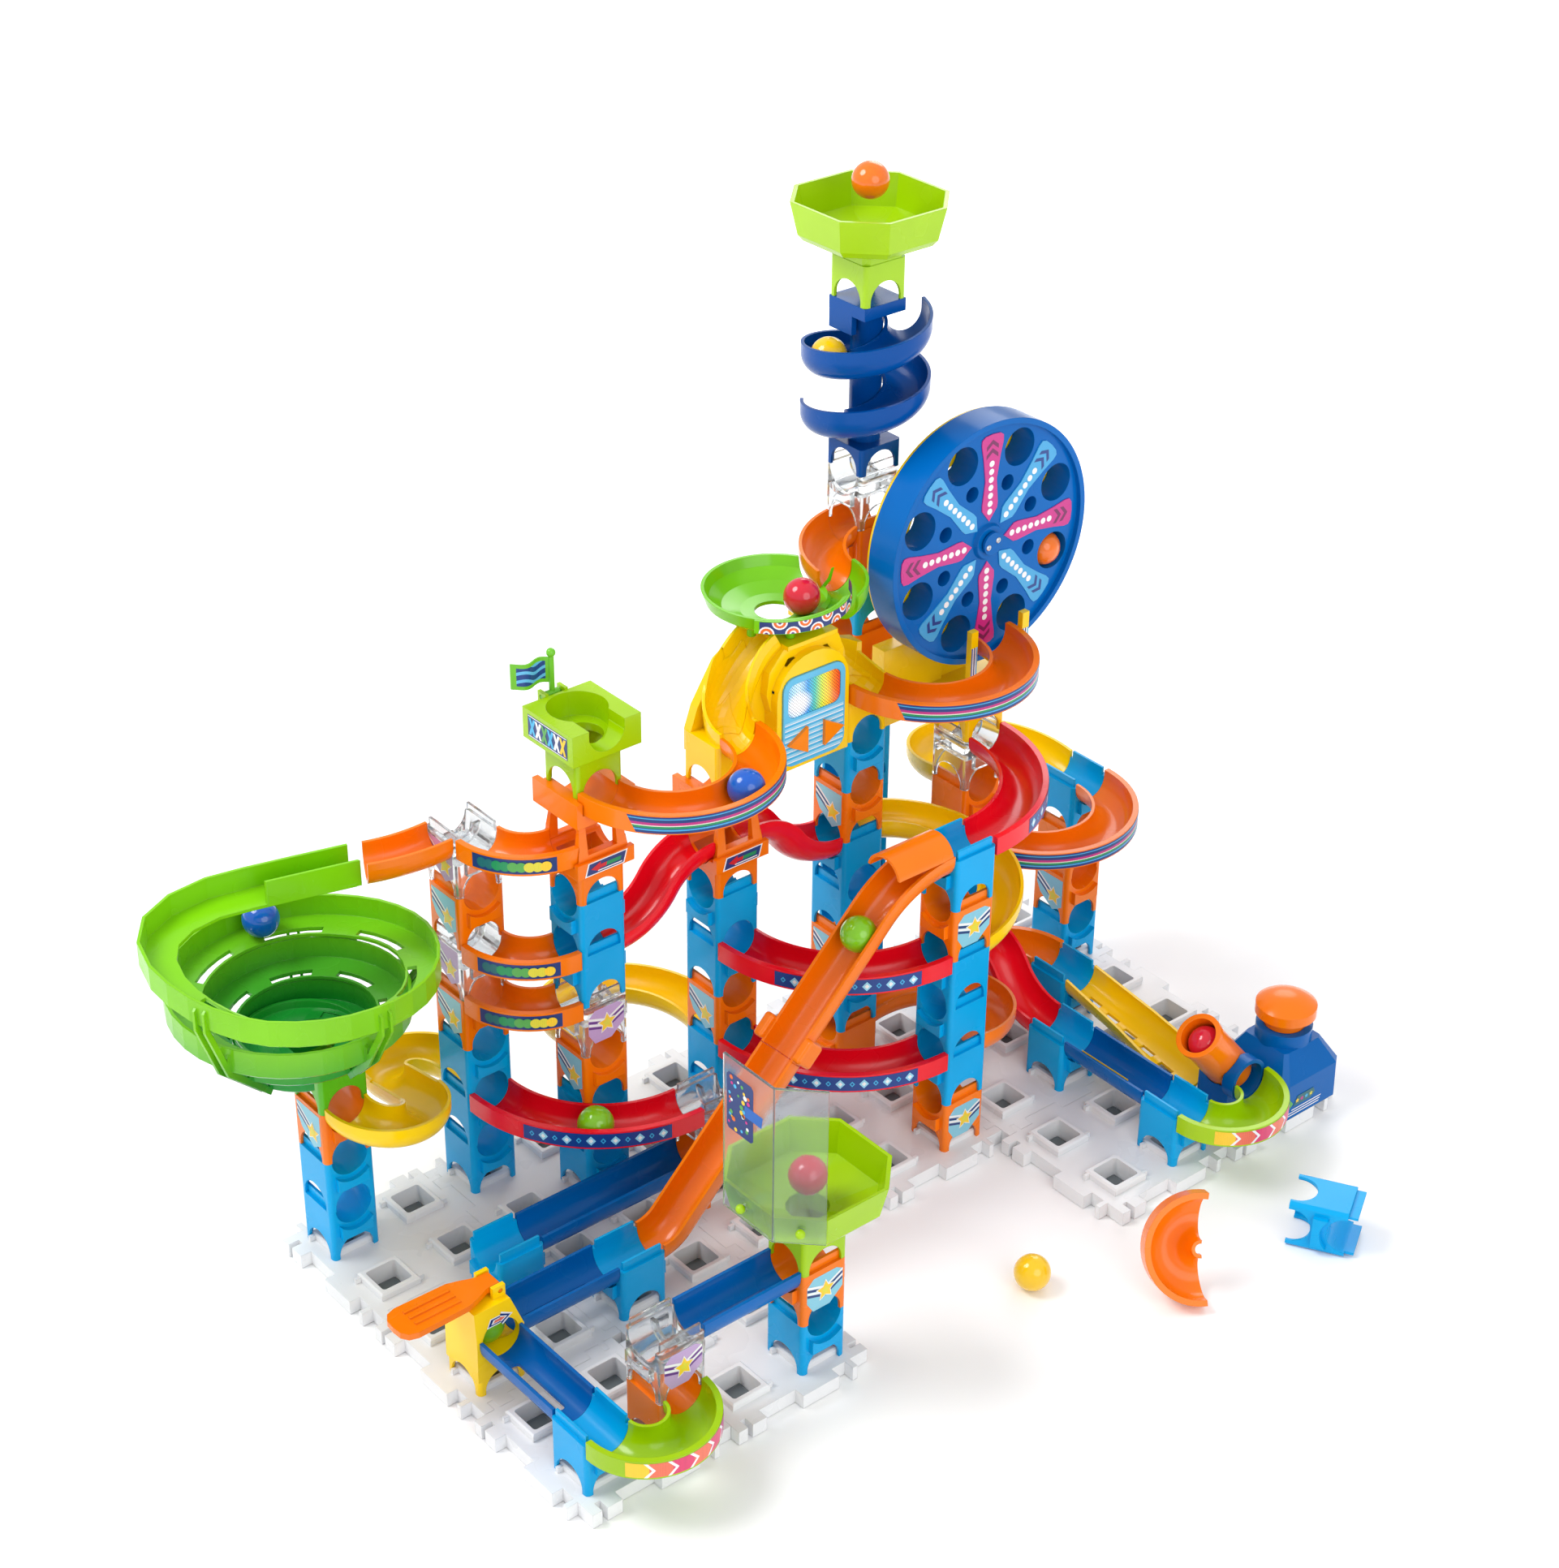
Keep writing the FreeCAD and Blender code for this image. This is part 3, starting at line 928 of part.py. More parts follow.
for side in (0, 1):
    row = []
    for n in range(steps + 1):
        t = n / steps
        across = 1.0 + 25 * t
        swing = 2.6 * math.sin(t * 2 * math.pi * 1.15)
        row.append(V(-across, swing + 1.3 * side - 0.65, 0))
    waves.append(row)
outline = waves[0] + waves[1][::-1]
cloth = Part.Face(Part.makePolygon(outline + outline[:1])).extrude(V(0, 0, 17))
cloth.rotate(V(0, 0, 0), Z_AXIS, -12)
cloth.translate(PIVOT + V(0, 0, 8))
pole = fuse(rod(PIVOT - V(8.2, 0, 0), X_AXIS, "1.2", "16.4"), rod(PIVOT, Z_AXIS, "1.8", "27"),
            rod(PIVOT - V(4.6, 0, 0), X_AXIS, "2.6", "9.2"), ball(PIVOT + V(0, 0, 28), "2.9"), feature(cloth))
node("flag", pole)

# ---------------------------------------------------------------- corkscrew

SCREW_AXIS = at(7.5, -0.5, 11)
screw_foot = rounded_post("0.49 * Dims.pitch")
screw_hollow = block(V(0, 0, 6.4), "Dims.width - 2 * Dims.wall", "Dims.width - 2 * Dims.wall", "13")
screw_foot = cut(screw_foot, screw_hollow, *arch_cutters(40))
screw_foot.Placement = FreeCAD.Placement(SCREW_AXIS, FreeCAD.Rotation())
column_radius = dim("screw") - 2 * ROD - 0.7
column = rod(SCREW_AXIS + level_z(0.4), Z_AXIS, "Dims.screw - 2 * (Dims.bore + Dims.shell) - 0.7", "2.5 * Dims.pitch")
shelf = block(SCREW_AXIS + level_z(2.89), "Dims.width", "Dims.width", "0.22 * Dims.pitch - 0.1")
shelf_wall = block(SCREW_AXIS + level_z(2.7) + V(-15.2, 6, 0), "4", "22", "0.5 * Dims.pitch")
stand_part = fuse(screw_foot, column, shelf, shelf_wall)
screw_radius = dim("screw") - ROD
screw_top, screw_start, screw_turns, screw_fall = 2.62, -12.0, 575.0, 1.68
coil = arc_track(SCREW_AXIS + level_z(screw_top), screw_radius, screw_start, -screw_turns, screw_fall * PITCH, False, 0.5, 7.0)
node("corkscrew", stand_part, feature(coil))

# ---------------------------------------------------------------- trays


def octagon_tray(place):
    "Funnel tray on an arched foot: a square neck opens to an eight-sided bin."
    half, corner = dim("trayhalf"), dim("traycut")
    foot_part = pillar_foot(V(0, 0, 0), 0.72)
    throat = octagon(HALF - 0.2, 4, 0.5 * PITCH)
    lower = octagon(half - 6, corner - 3, 1.03 * PITCH)
    shoulder = octagon(half - 2.5, corner - 1, 1.14 * PITCH)
    rim = octagon(half + 1.5, corner, 1.7 * PITCH)
    neck_top = [(x, y, 0.84 * PITCH) for x, y, z in throat]
    outside = tapered([(x * 0.98, y * 0.98, 0.6 * PITCH) for x, y, z in throat], neck_top)
    outside = outside.fuse([tapered(neck_top, lower), tapered(lower, shoulder), tapered(shoulder, rim)])
    low_in = octagon(13, 6, 0.95 * PITCH)
    mid_in = octagon(half - 5.0, corner - 2, 1.16 * PITCH)
    high_in = octagon(half - 0.7, corner - 0.6, 1.7 * PITCH + 0.2)
    inside = tapered(low_in, mid_in).fuse(tapered(mid_in, high_in))
    shape = cut(fuse(foot_part, feature(outside)), feature(inside), rod(V(0, 0, 10), Z_AXIS, "Dims.bore", "60"))
    shape.Placement = FreeCAD.Placement(place, FreeCAD.Rotation())
    return shape


def tray_peg(place, direction, reach):
    return fuse(rod(place, direction, "2", "%g" % reach), ball(place + direction * reach, "3"))


top_place = at(7.5, -0.5, 14)
FACET = dim("trayhalf") + 1.5
CORNER_FACET = (2 * FACET - dim("traycut")) / math.sqrt(2)
outward = V(1, 1, 0)
outward.normalize()
top_pegs = [tray_peg(top_place + V(FACET - 2.4, 0, 1.52 * PITCH), X_AXIS, 5.5),
            tray_peg(top_place + outward * (CORNER_FACET - 2.8) + V(0, 0, 1.52 * PITCH), outward, 5.5)]
node("top_tray", fuse(octagon_tray(top_place), *top_pegs))
low_place = at(2.5, 4.5, 2)
outward = outward * -1
side_peg = low_place + V(-FACET + 2.4, 2, 1.5 * PITCH)
corner_peg = low_place + outward * (CORNER_FACET - 2.8) + V(0, 0, 1.5 * PITCH)
low_pegs = [tray_peg(side_peg, X_AXIS * -1, 6.9), tray_peg(corner_peg, outward, 7.3)]
node("catcher_tray", fuse(octagon_tray(low_place), *low_pegs))
shield_path = []
for offset in (0.7, 2.5):
    wall_x = -FACET - offset
    bend_y = -(CORNER_FACET + offset) * math.sqrt(2) - wall_x
    tip = V(-24 - offset * 0.7, -(CORNER_FACET + offset) * math.sqrt(2) + 24 + offset * 0.7, 0)
    shield_path.append([(wall_x, 20.5, 0), (wall_x, bend_y, 0), (tip.x, tip.y, 0)])
shield_base = low_place + level_z(1.27)
shield_solid = feature(prism(shield_path[0] + shield_path[1][::-1], 2.85 * PITCH, shield_base))
slant_cut = feature(prism([(0, 0, 0), (110, 0, 0), (0, -58, 0)], 200, V(0, 0, 0)))
slant_cut.Placement = FreeCAD.Placement(shield_base + V(60, 21, 2.86 * PITCH), FreeCAD.Rotation(V(0, 1, 0), -90))
shield_holes = [rod(side_peg + V(4, 0, 0), X_AXIS * -1, "2.3", "14"), rod(corner_peg - outward * 4, outward, "2.3", "14")]
node("catcher_shield", cut(shield_solid, *shield_holes))

# ---------------------------------------------------------------- cannon

CANNON = at(10.45, 4.5, 0)
body_low = [(-30, -28, 0), (-24, -30.5, 0), (24, -30.5, 0), (30, -26, 0), (30, 26, 0), (24, 30.5, 0),
            (-24, 30.5, 0), (-30, 28, 0)]
body_mid = [(x * 0.98, y * 0.98, 0.72 * PITCH) for x, y, z in body_low]


def ring_points(radius, height, count=8, twist=-112.5):
    angles = [math.radians(twist + 360.0 * n / count) for n in range(count)]
    return [(radius * math.cos(a), radius * math.sin(a), height) for a in angles]


body_top = [(x * 0.62, y * 0.62, 1.2 * PITCH) for x, y, z in body_low]
shell_low = tapered(body_low, body_mid).fuse(tapered(body_mid, body_top))
inner_low = [(x * 0.92, y * 0.92, -1) for x, y, z in body_low]
inner_mid = [(x * 0.90, y * 0.90, 0.68 * PITCH) for x, y, z in body_low]
inner_top = [(x * 0.52, y * 0.52, 1.13 * PITCH) for x, y, z in body_low]
shell_void = tapered(inner_low, inner_mid).fuse(tapered(inner_mid, inner_top))
for shape in (shell_low, shell_void):
    shape.translate(CANNON)
collar = rod(CANNON + level_z(1.0), Z_AXIS, "19.5", "0.45 * Dims.pitch")
stem_hole = rod(CANNON + level_z(0.1), Z_AXIS, "14.4", "80")
chamber = block(at(9.6, 4.41, 0.56), "0.62 * Dims.cell", "0.5 * Dims.cell", "0.8 * Dims.pitch")
chamber_void = rod(at(9.9, 4.41, 0.5), V(-1, 0, 0), "9", "20")
ring_out = rod(at(9.5, 4.62, 1.0), V(0, -1, 0), "Dims.bore + 3", "9.5")
ring_in = rod(at(9.5, 4.45, 1.0), V(0, -1, 0), "Dims.bore", "40")
barrel_start = at(9.62, 4.4, 0.85)
barrel_line = at(8.98, 4.36, 1.95) - barrel_start
barrel_void = rod(barrel_start - barrel_line * 0.05, barrel_line, "15.4", "80")
cannon = cut(fuse(cut(fuse(feature(shell_low), collar), feature(shell_void)), chamber, ring_out), stem_hole, ring_in,
             barrel_void)
node("cannon_body", cannon)
barrel_length = "%g" % barrel_line.Length
barrel = cut(fuse(rod(barrel_start, barrel_line, "15", barrel_length),
                  rod(at(8.98, 4.36, 1.95) - barrel_line * 0.06, barrel_line, "16.2", "4")),
             rod(barrel_start - barrel_line * 0.1, barrel_line, "12.6", "90"))
node("cannon_barrel", barrel)
button_travel = 7.0
cap = rod(CANNON + level_z(1.45) + V(0, 0, button_travel + 1.5), Z_AXIS, "21", "6")
dome = common(ball(CANNON + level_z(1.45) + V(0, 0, button_travel + 7.5 - 24), "33"),
              rod(CANNON + level_z(1.45) + V(0, 0, button_travel + 7.4), Z_AXIS, "21", "12"))
stem = rod(CANNON + level_z(0.55), Z_AXIS, "14", "%g" % (0.9 * PITCH + button_travel + 3))
stop_ring = rod(CANNON + level_z(0.55), Z_AXIS, "15.6", "3")
node("cannon_button", fuse(cap, dome, stem, stop_ring))

# ---------------------------------------------------------------- starter

starter_foot = rounded_post("0.5 * Dims.pitch")


def level_rectangle(x_low, x_high, half, level):
    "Corners of a rectangle symmetric about the X axis at a height given in levels."
    return [(x, y, level * PITCH) for x, y in ((x_low, -half), (x_high, -half), (x_high, half), (x_low, half))]


shoulder_low = level_rectangle(-17.6, 17.2, 17.2, 0.3)
shoulder_mid = level_rectangle(-17.2, 17.1, 17.1, 1.06)
shoulder_top = level_rectangle(-16.6, 9.5, 14.6, 1.62)
shoulders = tapered(shoulder_low, shoulder_mid).fuse(tapered(shoulder_mid, shoulder_top)).removeSplitter()
starter = fuse(starter_foot, feature(shoulders))
starter_hollow = block(V(0, 0, 0.3 * PITCH - 0.1), "Dims.width - 2 * Dims.wall", "Dims.width - 2 * Dims.wall",
                       "0.6 * Dims.pitch")
starter_channel = rod(V(0, 0, PITCH), V(0, -1, 0), "Dims.bore", "60")
starter_side = rod(V(0, 0, PITCH), X_AXIS, "Dims.bore", "60")
starter_entry = rod(V(0, 0, PITCH), V(-1, 0, 0), "Dims.bore", "13")
lugs = [block(V(5, side * 8.5, 1.62 * PITCH + 3), "9", "3", "10") for side in (-1, 1)]
lever_pin_hole = rod(V(6, -20, 1.62 * PITCH + 4.2), Y_AXIS, "1.6", "40")
starter_body = cut(fuse(starter, *lugs), starter_hollow, starter_channel, starter_side, starter_entry, lever_pin_hole,
                   *arch_cutters(40))
starter_body.Placement = FreeCAD.Placement(at(-0.5, 2.5, 0), FreeCAD.Rotation())
node("starter_body", starter_body)
LEVER = at(-0.5, 2.5, 0) + V(6, 0, 1.62 * PITCH + 4.2)
paddle = [(2, -6), (2, 6), (-7, 6.2), (-16, 10), (-24, 12.6), (-60, 13.6), (-66, 11.6), (-69, 7), (-69.6, 0)]
paddle += [(x, -y) for x, y in paddle[-2:1:-1]]
lever_bar = feature(prism([(x, y, 0) for x, y in paddle], 4.2, LEVER + V(0, 0, -1)))
ridges = [feature(prism([(-26, y - 1, 0), (-26, y + 1, 0), (-58, y + 1, 0), (-58, y - 1, 0)], 1.2, LEVER + V(0, 0, 3.1)))
          for y in (-6, 0, 6)]
lever_pins = rod(LEVER - V(0, 9.7, 0), Y_AXIS, "1.3", "19.4")
lever_hub = rod(LEVER - V(0, 6.2, 0), Y_AXIS, "3.1", "12.4")
node("starter_lever", fuse(lever_bar, lever_pins, lever_hub, *ridges))

# ---------------------------------------------------------------- marbles

REST = -(BORE - BALL / 2) + 0.25


def marble(label, i, j, level, lift=REST):
    node(label, ball(at(i, j, level) + V(0, 0, lift), "Dims.ball / 2"))


marble("blue_marble_curve", 3.5 + 0.35, FAR + 0.936, 8)
marble("green_marble_curve", 3.5 - FACE - (1 + CLEAR_OF) * 0.643, -0.5 + FACE + (1 + CLEAR_OF) * 0.766, 2)
marble("red_marble_catcher", 2.5, 4.5, 2, 1.24 * PITCH + BALL / 2)
marble("orange_marble_top", 7.5, -0.5, 14, 1.66 * PITCH + BALL / 2)
marble("green_marble_starter", -0.5, 2.5, 1)
marble("yellow_marble_floor", 5.43, 5.18, 0, BALL / 2 - PLATE)


def resting(label, spot):
    node(label, ball(spot, "Dims.ball / 2"))


bowl_turn = math.radians(-58)
resting("red_marble_bowl", BOWL + V(18 * math.cos(bowl_turn), 18 * math.sin(bowl_turn), -0.1))
pocket_turn = math.radians(-22.5)
resting("orange_marble_wheel", wheel_centre + V(math.cos(pocket_turn), 0, math.sin(pocket_turn)) * pocket_at +
        V(0, 0.2 - BALL / 2, REST))
screw_angle = -195.0
screw_drop = screw_fall * PITCH * (screw_start - screw_angle) / screw_turns
screw_turn = math.radians(screw_angle)
resting("yellow_marble_corkscrew", SCREW_AXIS + level_z(screw_top) +
        V(screw_radius * math.cos(screw_turn), screw_radius * math.sin(screw_turn), REST + 0.1 - screw_drop))
resting("blue_marble_funnel", funnel_point(436, -3.8, 0.1))
ramp_share = (at(4.93, 0, 0).x - joint.x) / math.cos(slant)
resting("green_marble_ramp", joint - down * ramp_share + lift * (REST + 0.1))
resting("red_marble_cannon", barrel_start + barrel_line * 0.78)

# ---------------------------------------------------------------- checks and export

doc.recompute()
faults = [obj.Label for obj in doc.Objects if "Invalid" in obj.State or "Error" in obj.State]
if faults:
    raise RuntimeError("invalid objects: " + ", ".join(faults))
for obj in NODES:
    if obj.Shape.isNull() or not obj.Shape.isValid() or not obj.Shape.Solids:
        raise RuntimeError("bad shape: " + obj.Label)
os.makedirs("parts", exist_ok=True)
for obj in NODES:
    obj.Shape.exportStep("parts/" + obj.Label + ".step")
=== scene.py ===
import math
import random

import bpy
import numpy as np
from mathutils import Matrix, Vector


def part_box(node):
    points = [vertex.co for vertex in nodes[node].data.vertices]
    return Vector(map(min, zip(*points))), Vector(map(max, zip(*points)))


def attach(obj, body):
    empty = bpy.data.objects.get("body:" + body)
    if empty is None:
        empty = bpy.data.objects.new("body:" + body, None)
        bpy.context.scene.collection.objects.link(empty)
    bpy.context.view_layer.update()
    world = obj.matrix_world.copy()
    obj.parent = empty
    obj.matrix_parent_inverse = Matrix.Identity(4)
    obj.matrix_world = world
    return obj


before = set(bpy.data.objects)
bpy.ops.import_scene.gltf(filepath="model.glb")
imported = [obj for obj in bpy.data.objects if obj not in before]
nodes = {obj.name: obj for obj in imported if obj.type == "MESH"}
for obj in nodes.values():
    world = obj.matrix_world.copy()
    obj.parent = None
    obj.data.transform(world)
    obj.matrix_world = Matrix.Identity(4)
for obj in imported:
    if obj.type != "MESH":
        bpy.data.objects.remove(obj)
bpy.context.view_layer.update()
random.seed(7)

CELL, PITCH, PLATE = 0.054, 0.0385, 0.010
ORIGIN_I, ORIGIN_J = 4, 2
WIDTH, BAND, GAP = 0.0344, 0.0172, 0.0002
FACE = WIDTH / 2 / CELL + GAP / CELL


def at(i, j, level):
    "Grid column, row and level to metres."
    return Vector(((i - ORIGIN_I) * CELL, (ORIGIN_J - j) * CELL, PLATE + level * PITCH))


# ---------------------------------------------------------------- materials

def linear(value):
    "One 0 to 255 display value as linear light."
    return ((value / 255 + 0.055) / 1.055) ** 2.4 if value > 10 else value / 255 / 12.92


def srgb(r, g, b):
    return (linear(r), linear(g), linear(b), 1.0)


def new_material(name):
    mat = bpy.data.materials.new(name)
    mat.use_nodes = True
    tree = mat.node_tree
    return mat, tree, tree.nodes["Principled BSDF"]


def link(tree, a, b):
    tree.links.new(a, b)


def add(tree, kind, **values):
    node = tree.nodes.new(kind)
    for key, value in values.items():
        if key.startswith("in_"):
            node.inputs[key[3:].replace("_", " ")].default_value = value
        else:
            setattr(node, key, value)
    return node


def mix(tree, blend="MIX", factor=0.5):
    node = add(tree, "ShaderNodeMix", data_type="RGBA", blend_type=blend)
    node.inputs[0].default_value = factor
    return node


def surface_detail(tree, shader, grain=900.0, strength=0.05, bevel=0.0006):
    "Rounded edges, fine moulding grain and faint handling marks in the gloss."
    coords = add(tree, "ShaderNodeTexCoord")
    fine = add(tree, "ShaderNodeTexNoise", in_Scale=grain, in_Detail=3.0)
    wave = add(tree, "ShaderNodeTexNoise", in_Scale=34.0, in_Detail=2.0)
    link(tree, coords.outputs["Object"], fine.inputs["Vector"])
    link(tree, coords.outputs["Object"], wave.inputs["Vector"])
    heights = add(tree, "ShaderNodeMath", operation="MULTIPLY_ADD")
    heights.inputs[1].default_value = 0.25
    link(tree, fine.outputs["Fac"], heights.inputs[0])
    link(tree, wave.outputs["Fac"], heights.inputs[2])
    bump = add(tree, "ShaderNodeBump", in_Strength=strength, in_Distance=0.0006)
    link(tree, heights.outputs[0], bump.inputs["Height"])
    if bevel:
        edge = add(tree, "ShaderNodeBevel", samples=4, in_Radius=bevel)
        link(tree, edge.outputs[0], bump.inputs["Normal"])
    link(tree, bump.outputs[0], shader.inputs["Normal"])
    return coords, fine, wave


def plastic(name, colour, rough=0.22, deep=0.86, coat=0.14, subsurface=0.0, bevel=0.0006, specular=0.34):
    "Glossy moulded plastic: slight tone drift, darker thin moulding flow, soft edges."
    mat, tree, shader = new_material(name)
    coords, fine, wave = surface_detail(tree, shader, bevel=bevel)
    tone = add(tree, "ShaderNodeTexNoise", in_Scale=11.0, in_Detail=3.0, in_Distortion=0.6)
    link(tree, coords.outputs["Object"], tone.inputs["Vector"])
    ramp = add(tree, "ShaderNodeValToRGB")
    ramp.color_ramp.elements[0].position, ramp.color_ramp.elements[1].position = 0.32, 0.7
    ramp.color_ramp.elements[0].color = tuple(c * deep for c in colour[:3]) + (1,)
    ramp.color_ramp.elements[1].color = colour
    link(tree, tone.outputs["Fac"], ramp.inputs[0])
    link(tree, ramp.outputs[0], shader.inputs["Base Color"])
    gloss = add(tree, "ShaderNodeMapRange", in_From_Min=0.3, in_From_Max=0.7,
                in_To_Min=rough * 0.8, in_To_Max=rough * 1.35)
    link(tree, wave.outputs["Fac"], gloss.inputs["Value"])
    link(tree, gloss.outputs[0], shader.inputs["Roughness"])
    shader.inputs["Coat Weight"].default_value = coat
    shader.inputs["Coat Roughness"].default_value = 0.08
    shader.inputs["Specular IOR Level"].default_value = specular
    shader.inputs["Subsurface Weight"].default_value = subsurface
    shader.inputs["Subsurface Radius"].default_value = (0.004, 0.004, 0.004)
    return mat


def clear_plastic(name, tint, rough=0.04):
    mat, tree, shader = new_material(name)
    coords, fine, wave = surface_detail(tree, shader, strength=0.16, bevel=0.0008)
    ramp = add(tree, "ShaderNodeValToRGB")
    ramp.color_ramp.elements[0].color = tuple(c * 0.86 for c in tint[:3]) + (1,)
    ramp.color_ramp.elements[1].color = tint
    link(tree, wave.outputs["Fac"], ramp.inputs[0])
    link(tree, ramp.outputs[0], shader.inputs["Base Color"])
    gloss = add(tree, "ShaderNodeMapRange", in_To_Min=rough, in_To_Max=rough * 2.5)
    link(tree, wave.outputs["Fac"], gloss.inputs["Value"])
    link(tree, gloss.outputs[0], shader.inputs["Roughness"])
    shader.inputs["Transmission Weight"].default_value = 0.94
    shader.inputs["IOR"].default_value = 1.32
    return mat


def metal(name, colour, rough=0.3):
    mat, tree, shader = new_material(name)
    coords, fine, wave = surface_detail(tree, shader, grain=1500.0, strength=0.12, bevel=0.0003)
    ramp = add(tree, "ShaderNodeValToRGB")
    ramp.color_ramp.elements[0].color = tuple(c * 0.7 for c in colour[:3]) + (1,)
    ramp.color_ramp.elements[1].color = colour
    link(tree, fine.outputs["Fac"], ramp.inputs[0])
    link(tree, ramp.outputs[0], shader.inputs["Base Color"])
    gloss = add(tree, "ShaderNodeMapRange", in_To_Min=rough * 0.7, in_To_Max=rough * 1.4)
    link(tree, wave.outputs["Fac"], gloss.inputs["Value"])
    link(tree, gloss.outputs[0], shader.inputs["Roughness"])
    shader.inputs["Metallic"].default_value = 1.0
    return mat


BLUE = plastic("block_blue", srgb(0, 168, 232), coat=0.07, specular=0.18)
ORANGE = plastic("track_orange", srgb(248, 122, 0))
RED = plastic("track_red", srgb(240, 8, 34))
YELLOW = plastic("unit_yellow", srgb(255, 212, 0))
LIME = plastic("tray_lime", srgb(162, 205, 0))
NAVY = plastic("track_navy", srgb(0, 76, 156), coat=0.05, specular=0.14)
MID_BLUE = plastic("track_mid_blue", srgb(0, 98, 176), coat=0.06, specular=0.15)
WHEEL = plastic("wheel_blue", srgb(0, 102, 184), coat=0.05, specular=0.12)
WHITE = plastic("plate_white", srgb(236, 237, 239), rough=0.3, deep=0.94, coat=0.15)
CLEAR = clear_plastic("clear_block", srgb(243, 247, 249))
SHIELD = clear_plastic("clear_shield", srgb(238, 248, 252), rough=0.02)
STEEL = metal("hub_steel", (0.62, 0.63, 0.66, 1))
BOARD = plastic("circuit_green", srgb(16, 92, 58), rough=0.4, deep=0.6)
BUTTON = plastic("button_orange", srgb(250, 140, 10), rough=0.15, subsurface=0.2)

SURFACES = {
    "base_plates": WHITE, "clear_blocks": CLEAR, "clear_block_vanes": CLEAR, "catcher_shield": SHIELD,
    "straight_tracks": MID_BLUE, "corkscrew": NAVY, "cannon_body": MID_BLUE,
    "flag_box": LIME, "flag": LIME, "green_u_turns": LIME, "top_tray": LIME, "catcher_tray": LIME,
    "sound_unit_housing": YELLOW, "wheel_base": YELLOW, "starter_body": YELLOW, "lifting_wheel": WHEEL,
    "wheel_axle": WHEEL, "speaker": STEEL, "battery_cells": STEEL, "circuit_board": BOARD,
    "left_sound_button": BUTTON, "right_sound_button": BUTTON, "cannon_button": ORANGE,
}
MARBLES = {"blue": srgb(10, 92, 196), "green": srgb(128, 196, 24), "red": srgb(214, 24, 52),
           "orange": srgb(240, 116, 14), "yellow": srgb(248, 200, 16)}
for colour, value in MARBLES.items():
    MARBLES[colour] = plastic("marble_" + colour, value, rough=0.14, deep=0.9, coat=0.6,
                              subsurface=0.25, bevel=0)


def surface_for(name):
    if name in SURFACES:
        return SURFACES[name]
    if "marble" in name:
        return MARBLES[name.split("_")[0]]
    for key, mat in (("blue", BLUE), ("red", RED), ("yellow", YELLOW)):
        if name.startswith(key):
            return mat
    return ORANGE


for name, obj in nodes.items():
    for place in obj.material_slots:
        place.material = surface_for(name)


# ---------------------------------------------------------------- special surfaces

def coordinate(tree, axis, kind="Object"):
    "One coordinate of the surface point as a value."
    coords = add(tree, "ShaderNodeTexCoord")
    split = add(tree, "ShaderNodeSeparateXYZ")
    link(tree, coords.outputs[kind], split.inputs[0])
    return split.outputs[axis]


def maths(tree, operation, a, b=None, clamp=False):
    node = add(tree, "ShaderNodeMath", operation=operation, use_clamp=clamp)
    for place, value in enumerate((a, b)):
        if value is None:
            continue
        if isinstance(value, (int, float)):
            node.inputs[place].default_value = value
        else:
            link(tree, value, node.inputs[place])
    return node.outputs[0]


